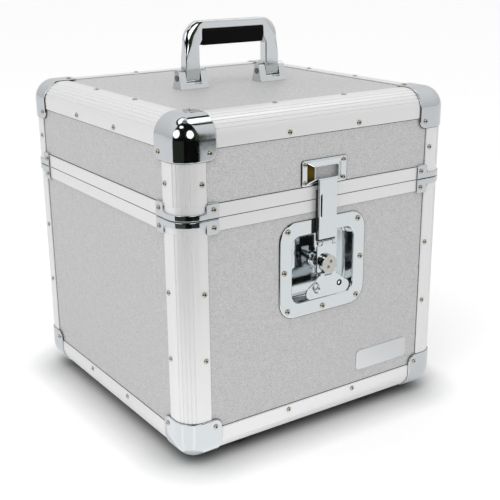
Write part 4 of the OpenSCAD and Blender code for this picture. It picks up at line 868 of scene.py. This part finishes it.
piece("soft_grip", grip(), GRIP, "handle", ["handle_grip"], sharp=50)

# ---- painted shadow: dark lines between the panels and the extrusions ----

def shadow_frame(a, b):
    """Painted shadow round a panel: a dark flat frame 0.95 mm wide, 0.3 mm of it under the flanges."""
    return pressed([(a + d, b + d, r, z, 0) for d, r, z in (
        (0.3, 0.9, 0.06), (-0.65, 0.5, 0.06), (-0.75, 0.4, -0.1), (0.3, 0.9, -0.1))], steps=4)


def shadow_frames(low, high, level):
    """The lines round the four side panels between two heights, and round the level panel."""
    half = HALF - EDGE_LEG
    sides = same_at(shadow_frame(half, (high - low) / 2), [on_side(k) @ shift(0, (low + high) / 2, -SKIN) for k in range(4)])
    return merged(sides, moved(shadow_frame(half, half), level))


shade_piece("panel_shadow_lines_base", shadow_frames(Z_UNDER + EDGE_LEG, Z_BASE_RIM - BASE_RIM_H,
                                       shift(z=Z_UNDER + SKIN) @ scale(1, 1, -1)), "base")
shade_piece("panel_shadow_lines_lid", shadow_frames(Z_LID_RIM + LID_RIM_H, Z_TOP - EDGE_LEG, shift(z=Z_TOP - SKIN)), "lid")

# ---- dark sheets under the plates and in the seam, which stand in for shadow: painted shadow ----

def shadow_rim_sheet(hole, plate, z):
    """Dark rubber sheet 1.1 mm thick under a plate on the front, 0.1 mm proud of it all round: a line of painted
    shadow at the plate's edge.
    """
    hole, plate = np.array(hole), np.array(plate)
    rings = [(hole, 1.1), (plate, 1.1), (plate + 0.1, 1.0), (plate + 0.1, 0), (hole, 0)]
    return moved(pressed([(*size, up, 0) for size, up in rings]), on_side(0) @ shift(0, z, -SKIN - 0.05))


shade_piece("keeper_shadow_rim", shadow_rim_sheet((22.9, 11.9, 1.9), KEEPER, Z_KEEPER), "lid")
shade_piece("dish_shadow_rim", shadow_rim_sheet((43, 38.8, 12), DISH, Z_DISH), "base")
# A dark strip that fills the groove between the rims' broken edges: painted shadow in the seam
shade_piece("seam_shadow_strip", moved(pressed([(HALF - d, HALF - d, EDGE_R - d, z, 0) for d, z in (
    (3.6, 0.55), (0.5, 0.55), (0.12, 0.72), (0.12, -0.12), (0.5, 0), (3.6, 0))]), shift(z=Z_BASE_RIM)), "base")

# ---- floor, light and camera ----

CAMERA_AT = np.array((-0.60257, -0.92149, 0.51998))
RIGHT = np.array((0.825284, -0.564665, -0.007773))
UP = np.array((0.180524, 0.250752, 0.951070))
FORWARD = np.array((0.535086, 0.786306, -0.308877))
BEARING = math.radians(34.24)           # from straight in front towards the left, where the camera stands
CORNER_AT = np.array((-0.16, -0.16, 0.0))
RAYS = ("camera", "diffuse", "glossy", "transmission", "shadow", "volume_scatter")


def stage_grid(name, points, surface, seen=("glossy",)):
    """A stage surface through a grid of points in metres, seen only by the kinds of ray that are named."""
    rows, cols = points.shape[:2]
    i, j = np.meshgrid(np.arange(rows - 1), np.arange(cols - 1), indexing="ij")
    faces = np.stack([i * cols + j, i * cols + j + 1, (i + 1) * cols + j + 1, (i + 1) * cols + j], -1)
    mesh = bpy.data.meshes.new(name)
    mesh.from_pydata(points.reshape(-1, 3).tolist(), [], faces.reshape(-1, 4).tolist())
    mesh.materials.append(surface)
    obj = bpy.data.objects.new(name, mesh)
    bpy.context.scene.collection.objects.link(obj)
    for ray in RAYS:
        setattr(obj, "visible_" + ray, ray in seen)
    return obj


def between(corners, n):
    """Grid of values blended evenly between four corners: low left, low right, high right, high left."""
    a, b, c, d = np.array(corners, float)
    u, v = np.meshgrid(np.linspace(0, 1, n), np.linspace(0, 1, n), indexing="ij")
    u, v = u[..., None], v[..., None]
    return a * (1 - u) * (1 - v) + b * u * (1 - v) + c * u * v + d * (1 - u) * v


def dome(g, distance):
    """Points of a dome round the front left corner, from their bearings and heights."""
    turn_by, up = np.radians(g[..., 0]) - BEARING, np.radians(g[..., 1])
    ray = np.stack([np.sin(turn_by) * np.cos(up), -np.cos(turn_by) * np.cos(up), np.sin(up)], -1)
    return CORNER_AT + (0, 0, 0.3) + ray * distance


def sky_patch(name, corners, surface, distance=3.0):
    """Part of a dome round the front left corner, by its corners' bearings, rightwards from the camera's, and
    heights above the horizon, in degrees."""
    return stage_grid(name, dome(between(corners, 16), distance), surface)


def sky_disc(name, at, half, surface):
    """Round part of the same dome: the bearing and height of its middle, and its half sizes."""
    r, a = np.meshgrid(np.linspace(0, 1, 4), np.linspace(0, 2 * np.pi, 33), indexing="ij")
    g = np.stack([at[0] + half[0] * r * np.cos(a), at[1] + half[1] * r * np.sin(a)], -1)
    return stage_grid(name, dome(g, 2.8), surface)


def floor_patch(name, left, right, near, far, surface, height=0.002):
    """Part of the floor in front of the same corner, between two bearings and two distances."""
    g = between([(left, near), (right, near), (right, far), (left, far)], 16)
    turn_by = np.radians(g[..., 0]) - BEARING
    points = np.stack([np.sin(turn_by) * g[..., 1], -np.cos(turn_by) * g[..., 1], 0 * g[..., 1] + height], -1)
    return stage_grid(name, CORNER_AT + points, surface)


def glow(name, strength, colour="#ffffff"):
    """A plain emitter."""
    m = bpy.data.materials.new(name)
    m.use_nodes = True
    t = m.node_tree
    t.nodes.clear()
    light = node_of(t, "ShaderNodeEmission", Strength=strength, Color=linear(colour))
    node_of(t, "ShaderNodeOutputMaterial", [("Surface", light.outputs[0])])
    return m


def floor_material():
    """Matt white paper. The camera and the mirrors see it lifted to white, and for the camera the part that the case
    stands over is darkened by how much of the nearest 50 mm is closed off: a painted contact shadow, on top of the
    real shading from the lights."""
    m, t, s = material("white_paper_floor", Roughness=0.9, Base_Color=linear("#f2f2f2"))
    rays = node_of(t, "ShaderNodeLightPath").outputs
    # Painted contact shadow: the camera's floor colour is multiplied by its occlusion within 50 mm
    closed = node_of(t, "ShaderNodeAmbientOcclusion", samples=16, Distance=0.05)
    deep = node_of(t, "ShaderNodeMath", [(0, closed.outputs["AO"]), (1, 1.05)], operation="POWER")
    white = node_of(t, "ShaderNodeMath", [(0, deep.outputs[0]), (1, 1.23)], operation="MULTIPLY")
    grey = node_of(t, "ShaderNodeCombineColor", [(c, white.outputs[0]) for c in ("Red", "Green", "Blue")])
    shown = node_of(t, "ShaderNodeBsdfDiffuse", [("Color", grey.outputs[0])])
    mirrored = node_of(t, "ShaderNodeBsdfDiffuse", Color=(1.12, 1.12, 1.12, 1.0))
    one = node_of(t, "ShaderNodeMixShader", [(0, rays["Is Glossy Ray"]), (1, s.outputs[0]), (2, mirrored.outputs[0])])
    two = node_of(t, "ShaderNodeMixShader", [(0, rays["Is Camera Ray"]), (1, one.outputs[0]), (2, shown.outputs[0])])
    t.links.new(two.outputs[0], t.nodes["Material Output"].inputs["Surface"])
    return m


SHEET = np.array([[(-25, -25, 0), (-25, 25, 0)], [(25, -25, 0), (25, 25, 0)]], float)
stage_grid("floor", SHEET, floor_material(), RAYS)

world = bpy.data.worlds.new("studio")
bpy.context.scene.world = world
world.use_nodes = True
wt = world.node_tree
wt.nodes.clear()
way = node_of(wt, "ShaderNodeSeparateXYZ", [(0, node_of(wt, "ShaderNodeTexCoord").outputs["Generated"])])
tent = node_of(wt, "ShaderNodeMapRange", [("Value", way.outputs["Z"])], From_Min=0.0, From_Max=0.8, To_Min=0.9,
               To_Max=1.25)
mirror = node_of(wt, "ShaderNodeLightPath").outputs
seen = node_of(wt, "ShaderNodeMath", [(0, mirror["Is Glossy Ray"]), (1, mirror["Is Transmission Ray"])],
               operation="MAXIMUM")
level = node_of(wt, "ShaderNodeMix", [("Factor", seen.outputs[0]), ("A", 0.98), ("B", tent.outputs["Result"])],
                data_type="FLOAT")
shown = node_of(wt, "ShaderNodeMath", [(0, level.outputs["Result"]), (1, mirror["Is Camera Ray"])], operation="ADD")
back = node_of(wt, "ShaderNodeBackground", [("Strength", shown.outputs[0])])
node_of(wt, "ShaderNodeOutputWorld", [("Surface", back.outputs[0])])

# The dark room behind the camera, which the bright metal mirrors, with its lamps and the tent's open edges
DARK, LAMP, DIM = glow("dark_room", 1.0, "#0a0c0c"), glow("lamp_face", 2.2), glow("ceiling_grey", 0.25)
sky_patch("dark_room", [(-58, -6), (66, -6), (66, 80), (-58, 80)], DARK)
sky_disc("lamp_left", (-42, 24), (17, 18), LAMP)
sky_disc("lamp_right", (29, 23), (18, 18), LAMP)
sky_disc("lamp_high", (-24, 58), (16, 6), LAMP)
sky_patch("room_side", [(50, -6), (66, -6), (66, 46), (54, 46)], glow("room_side", 1.0, "#39422a"), 2.9)
sky_patch("ceiling", [(-180, 81), (180, 81), (180, 89.9), (-180, 89.9)], DIM)
sky_patch("soft_box_left", [(-160, 67), (-66, 67), (-66, 80), (-160, 80)], LAMP)
sky_patch("soft_box_right", [(66, 66), (143, 48), (143, 80), (66, 80)], LAMP)
sky_patch("edge_left", [(-180, 61), (-58, 58), (-58, 66), (-180, 65)], DARK, 2.7)
sky_patch("edge_right", [(64, 61), (90, 47), (101, 52), (64, 70)], DARK, 2.7)
sky_patch("edge_back", [(141, 54), (156, 47), (172, 74), (148, 72)], DARK, 2.7)
# Glowing patches, seen only in reflections, stand in for the dark floor that the cap, the braces and the dish mirror,
# by bearing and distance, and for what lies on it: painted reflections
for name, left, right, near, far, colour in (
        ("near_left", -60, -8, 0.38, 0.92, "#5a5f5c"), ("near_middle", -8, 22, 0.38, 0.92, "#161817"),
        ("near_right", 22, 60, 0.38, 0.92, "#3c403e"), ("far_left", -60, -4, 0.92, 3.2, "#2c312a"),
        ("far_right", -4, 65, 1.0, 3.2, "#080a09"), ("far_middle", -4, 60, 0.92, 1.0, "#080a09"),
        ("far_edge", 65, 70, 1.62, 2.9, "#59625f")):
    floor_patch("floor_" + name, left, right, near, far, glow("floor_" + name, 1.0, colour))
# Brighter glowing patches and stripes near the case, also seen only in reflections: painted highlights in the caps
# and the dish
floor_patch("floor_by_case", -115, 115, 0.015, 0.34, glow("floor_by_case", 1.25))
floor_patch("floor_before_dish", 22, 41, 0.4, 0.66, glow("floor_before_dish", 1.25), 0.003)
STRIPE = glow("bright_stripe", 1.4)
floor_patch("stripe_left", -59, -49, 0.02, 0.3, STRIPE, 0.003)
floor_patch("stripe_right", 1, 13, 0.02, 0.3, STRIPE, 0.003)
floor_patch("ochre_floor_glow", 14.5, 19, 1.13, 1.29, glow("ochre_floor_glow", 1.0, "#7d5f18"), 0.004)

key = bpy.data.lights.new("key", "AREA")
key.energy, key.size, key.color = 9.0, 1.2, (1.0, 1.0, 1.0)
lamp = bpy.data.objects.new("key", key)
lamp.matrix_world = Matrix.Translation((-0.9, -0.7, 1.9)) @ Matrix(
    ((0.83, -0.23, -0.50), (-0.55, -0.41, -0.39), (0.0, 0.88, 0.77))).to_4x4()
lamp.visible_glossy = False
bpy.context.scene.collection.objects.link(lamp)

camera = bpy.data.objects.new("camera", bpy.data.cameras.new("camera"))
camera.data.lens, camera.data.sensor_width, camera.data.sensor_fit = 68.07, 36.0, "HORIZONTAL"
axes = np.eye(4)
axes[:3, 0], axes[:3, 1], axes[:3, 2], axes[:3, 3] = RIGHT, UP, -FORWARD, CAMERA_AT
camera.matrix_world = Matrix(axes.tolist())
bpy.context.scene.collection.objects.link(camera)
bpy.context.scene.camera = camera
bpy.context.scene.view_settings.view_transform = "Standard"
